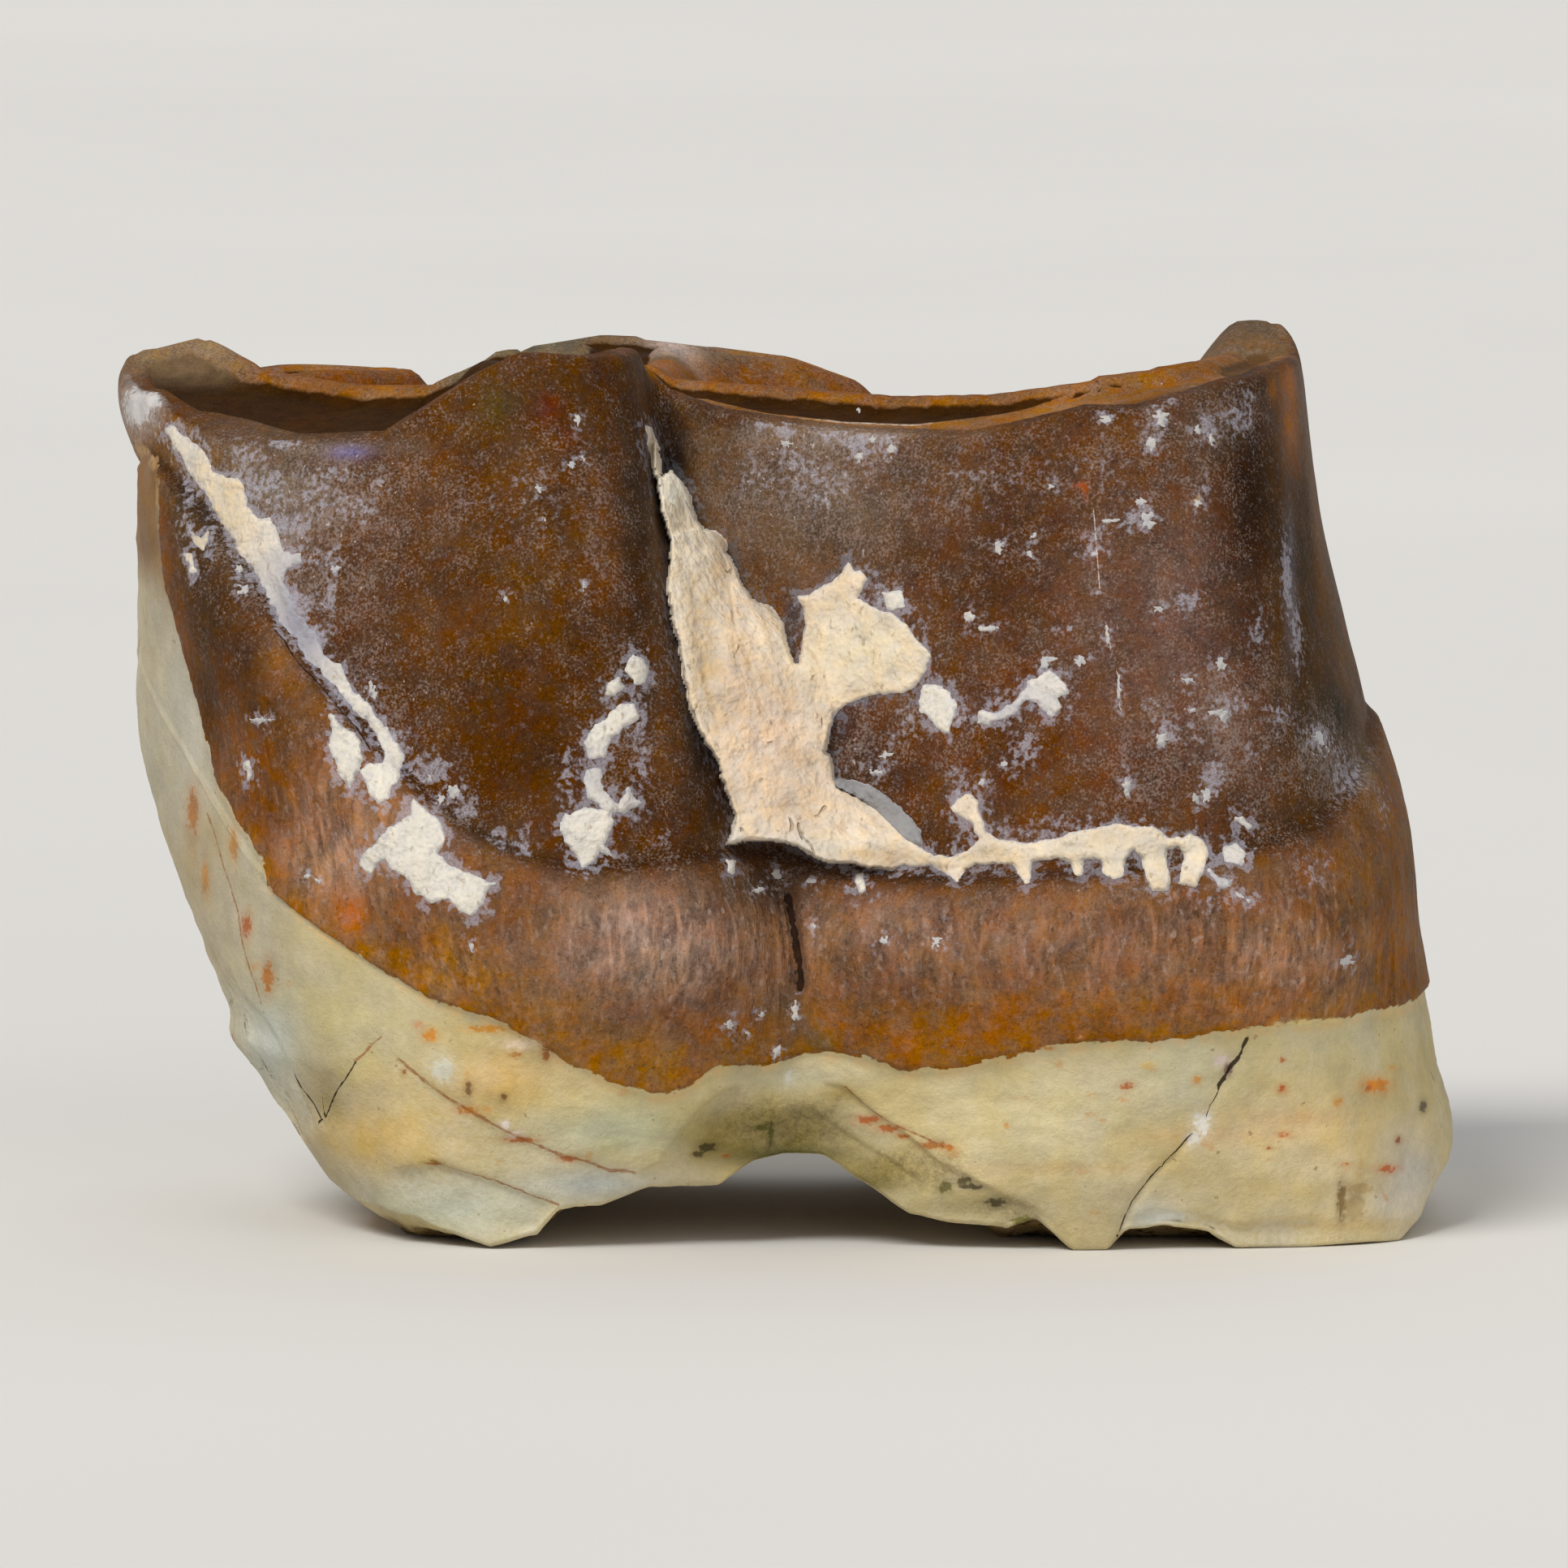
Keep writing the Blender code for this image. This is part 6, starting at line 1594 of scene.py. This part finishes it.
def plug_front():
    """The face of the mud in the groove: a chord from lip to bank at every height."""
    heights, first, last = (np.array(column) for column in zip(*MATRIX_ROWS))
    z = np.linspace(heights[0], heights[-1], PLUG_ROWS)
    first = np.interp(z, heights, first) - PLUG_MARGIN
    last = np.interp(z, heights, last) + PLUG_MARGIN
    ends = [outline(u, z) + outward(u, z) * swell(u, z)[:, None] for u in (first, last)]
    chord = ends[1] - ends[0]
    forward = np.stack([chord[:, 1], -chord[:, 0]], axis=-1)
    forward /= np.linalg.norm(forward, axis=-1, keepdims=True)
    part = np.linspace(-PLUG_OVERHANG, 1 + PLUG_OVERHANG, PLUG_COLUMNS)
    crown = PLUG_EDGE + PLUG_CROWN * np.sin(math.pi * np.clip(part, 0.0, 1.0))
    flat = ends[0][:, None, :] + part[:, None] * chord[:, None, :] + crown[:, None] * forward[:, None, :]
    points = np.concatenate([flat, np.broadcast_to(z[:, None, None], flat.shape[:2] + (1,))], axis=-1)
    row, column = np.meshgrid(np.arange(len(z) - 1), np.arange(len(part) - 1), indexing="ij")
    corner = row * len(part) + column
    faces = np.stack([corner, corner + 1, corner + len(part) + 1, corner + len(part)], axis=-1)
    return points.reshape(-1, 3), faces.reshape(-1, 4)


def patch_depth(patch, places, ragged):
    """How far in mm picture points are inside the ragged edge of a patch, and their places in mm."""
    inside = np.full(len(places), -FAR_POINTS)
    for line in patch:
        inside = np.maximum(inside, depth_inside(np.array(line, float), places))
    inside = inside * PICTURE_STEP
    flat = on_level(*(places * PICTURE_STEP).T)
    close = inside > -RAGGED_REACH
    wobble = np.zeros(len(places))
    for size, per_mm, shift in ragged:
        wobble[close] += size * noise_at(flat[close], per_mm, shift)
    return inside + wobble, flat


def crust(tree, patches, kind, plug_tree=None):
    """Closed shell of mud over the surface: its rim dips under the surface, so that it has no gap.

    Gives its points, its faces, and for each point its thickness, how far inside its patch it is, its
    own relief and the number of its patch.
    """
    points = []
    faces = []
    known = []
    total = 0
    along = rays_at(np.zeros((1, 2)))[1]
    for number, patch in enumerate(patches):
        shape = np.concatenate([np.array(line, float) for line in patch])
        low = shape.min(0) - PATCH_MARGIN
        high = shape.max(0) + PATCH_MARGIN
        xs, ys = (np.arange(low[axis], high[axis], kind["step"]) for axis in (0, 1))
        places = np.stack(np.meshgrid(xs, ys), axis=-1).reshape(-1, 2)
        inside, flat = patch_depth(patch, places, kind["ragged"])
        kept = inside > -DIPPING_RIM
        depth = np.full(len(places), np.inf)
        depth[kept] = sight_depth(tree, places[kept], kind["facing"])
        kept &= np.isfinite(depth)
        own = np.zeros(len(places))
        own[kept] = kind["relief"] * rough_at(flat[kept], RELIEF_PER_MM, RELIEF_OCTAVES, RELIEF_SHIFT)
        if plug_tree is not None:
            own[kept] += mud_features(places[kept])
        height = (kind["thickness"] * (1 - np.exp(-np.maximum(inside, 0.0) / kind["edge"]))
                  + own * smooth_step(inside / RELIEF_REACH))
        height = np.where(inside < 0, inside * RIM_DIP,
                          np.maximum(height, LEAST_MUD * smooth_step(inside / LEAST_REACH)))
        front = depth - height
        if plug_tree is not None:
            bridge = np.full(len(places), np.inf)
            bridge[kept] = sight_depth(plug_tree, places[kept])
            bridge = bridge - own + BRIDGE_DROP * (1 - smooth_step(inside / BRIDGE_REACH))
            front = np.where(np.isfinite(bridge) & (inside > 0),
                             -soft_max(-front, -bridge, BRIDGE_SOFTENING), front)
        order = np.full(len(places), -1)
        order[kept] = np.arange(kept.sum())
        grid = order.reshape(len(ys), len(xs))
        corners = np.stack([grid[:-1, :-1], grid[:-1, 1:], grid[1:, 1:], grid[1:, :-1]], axis=-1)
        cells = corners[(corners >= 0).all(axis=-1)]
        if len(cells) == 0:
            continue
        used, cells = np.unique(cells, return_inverse=True)
        cells = cells.reshape(-1, 4)
        starts = rays_at(places[kept][used])[0]
        near = starts + along * front[kept][used][:, None]
        far = starts + along * (np.maximum(depth, front)[kept][used] + SHELL_BACK)[:, None]
        count = len(used)
        points += [near, far]
        facts = np.column_stack([(depth - front), inside, own, np.full(len(places), number)])[kept][used]
        known += [facts, facts * (0, 1, 0, 1)]
        faces += (cells + total).tolist()
        faces += (cells[:, ::-1] + total + count).tolist()
        pairs = np.concatenate([cells[:, [i, (i + 1) % 4]] for i in range(4)])
        keys = {tuple(pair) for pair in pairs.tolist()}
        faces += [(b + total, a + total, a + total + count, b + total + count)
                  for a, b in sorted(keys) if (b, a) not in keys]
        total += 2 * count
    return np.vstack(points), faces, np.vstack(known)


def mud_features(places):
    """Ridges, grooves and steps of the thick mud, in millimetres, at picture points."""
    rise = np.zeros(len(places))
    for height, half_width, line in MUD_RIDGES:
        side, ends = beside_marks(line, places, *RIDGE_ENDS)
        rise += RIDGE_SHARE * height * np.exp(-(side / half_width)**2) * ends
    for height, reach, line in MUD_STEPS:
        side, ends = beside_marks(line, places, *STEP_ENDS)
        rise += height * smooth_step(side / MUD_STEP_WIDTH) * (1 - smooth_step(side / reach)) * ends
    return rise


def mud_colours(points, known, whiteness):
    """Tint of the mud: peach and buff in the thick plug, nearly white in the thin crusts, with painted
    shade in the hollows of its relief and painted light on its rises.
    """
    seen = seen_from_front(points)
    warm = rough_at(points, 0.9, 3, 21.0)[:, None]
    mottle = rough_at(points, 3.2, 3, 27.0)[:, None]
    tint = lay_soft_tints(plain_colour("mud") * (1 + 0.10 * warm + 0.10 * mottle), seen, MUD_STAINS_LIGHT_AND_SHADE)
    tint = laid(tint, "white_mud", whiteness * (1 - 0.8 * soft_spot(seen, *YELLOW_CRUST)))
    if whiteness > 0:
        tint = lay_soft_tints(tint, seen, THIN_MUD)
    own = known[:, 2:3]
    # Painted shade in the hollows of the mud's own relief, and painted light on its rises.
    tint = laid(tint, "mud_hollow_shade", 0.35 * fade(own, 0.0, -0.05))
    tint = tint * (1 + 0.10 * fade(own, 0.0, 0.06))
    rim = np.exp(-np.maximum(known[:, 1:2], 0.0) / 0.035)
    return laid(tint, "mud_rim", 0.5 * rim * (whiteness == 0))


def add_mud(name, tree, patches, kind, finish, plug_tree=None):
    """One piece of mud with its tint and thickness."""
    points, faces, known = crust(tree, patches, kind, plug_tree)
    piece = mesh_object(name, points, faces, finish)
    tint = mud_colours(points, known, kind["whiteness"]) * kind["light"]
    if plug_tree is not None:
        tint[known[:, 3] == 1] = plain_colour("slab")
    keep_value(piece, "mud_tint", tint)
    keep_value(piece, "thickness", known[:, 0])
    return piece


def fleck_outline(x, y, half_x, half_y):
    """Uneven outline of a fleck, in picture points."""
    turn = np.linspace(0, 2 * math.pi, FLECK_CORNERS + 1)[:-1]
    read = np.column_stack([np.full(turn.shape, x), np.full(turn.shape, y), turn])
    uneven = FLECK_LEAST + FLECK_UNEVEN * noise_at(read, FLECK_NOISE)
    return np.column_stack([x + half_x * uneven * np.cos(turn), y + half_y * uneven * np.sin(turn)])


def main():
    """Make the tooth's surface and the mud on it."""
    points, faces, facts = tooth_shape()
    points, out = carve(roughen_roots(points), faces, facts)
    points[:, 2] = np.maximum(points[:, 2], 0.0)
    tooth = mesh_object("tooth_surface", points, faces, tooth_finish())
    values = {name: facts[name] for name in facts if name in WALL_VALUES or name.split("_")[0] in LINES}
    for made in (values, tooth_marks(points, out, facts), tooth_colours(points, out, facts)):
        for name, value in made.items():
            keep_value(tooth, name, value)
    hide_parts("tooth")

    tree = BVHTree.FromPolygons(points.tolist(), faces)
    plug_tree = BVHTree.FromPolygons(*(part.tolist() for part in plug_front()))
    finish = mud_finish()
    plug = add_mud("groove_mud", tree, ((PLUG, SIDE_LOBE, LEDGE_STRIP), (SLAB,)), THICK_MUD, finish,
                   plug_tree)
    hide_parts("groove_matrix")
    skins = add_mud("mud_crusts", tree, [(patch,) for patch in (CREASE_FILL,) + CRUSTS], SKIN_MUD, finish)
    small = add_mud("mud_flecks", tree, [(fleck_outline(*fleck),) for fleck in FLECKS], FLECK_MUD, finish)


def make_stage():
    """Plain pale floor, soft light and the camera of the front view."""
    scene = bpy.context.scene
    f = Finish("floor_finish")
    colour = f.toned(linear("floor"), f.spread(f.noise(0.02, 2.0), 0.985, 1.015))
    f.links.new(colour, f.shader.inputs["Base Color"])
    f.shader.inputs["Roughness"].default_value = 0.9
    floor_mesh = bpy.data.meshes.new("floor")
    corners = ((-1, -1), (1, -1), (1, 1), (-1, 1))
    floor_mesh.from_pydata([(x * FLOOR_HALF, y * FLOOR_HALF, 0) for x, y in corners], [], [(0, 1, 2, 3)])
    floor_mesh.materials.append(f.material)
    floor = bpy.data.objects.new("floor", floor_mesh)
    scene.collection.objects.link(floor)

    world = bpy.data.worlds.new("studio")
    world.use_nodes = True
    for number, value in enumerate(SKY):
        world.node_tree.nodes["Background"].inputs[number].default_value = value
    scene.world = world
    for name, strength, spread, height, turn, colour in LAMPS:
        sun = bpy.data.lights.new(name, "SUN")
        sun.energy = strength
        sun.angle = math.radians(spread)
        sun.color = colour
        lamp = bpy.data.objects.new(name, sun)
        high, side = math.radians(height), math.radians(turn)
        source = Vector((math.sin(side) * math.cos(high), -math.cos(side) * math.cos(high), math.sin(high)))
        lamp.location = source * LAMP_DISTANCE
        lamp.rotation_euler = source.to_track_quat("Z", "Y").to_euler()
        scene.collection.objects.link(lamp)
    scene.view_settings.view_transform = "Standard"

    data = bpy.data.cameras.new("camera")
    data.lens = LENS
    data.sensor_width = SENSOR
    data.clip_start = NEAREST_SEEN
    camera = bpy.data.objects.new("camera", data)
    away = Vector((0.0, -math.cos(EYE_HEIGHT), math.sin(EYE_HEIGHT)))
    distance = PICTURE_SIDE * PICTURE_STEP * MM * LENS / SENSOR
    target = Vector((0.0, MIDDLE_SHIFT[1] - EYE_PIVOT, AIM_HEIGHT)) * MM
    camera.location = target + away * distance
    camera.rotation_euler = away.to_track_quat("Z", "Y").to_euler()
    scene.collection.objects.link(camera)
    scene.camera = camera


main()
make_stage()
bpy.context.view_layer.update()
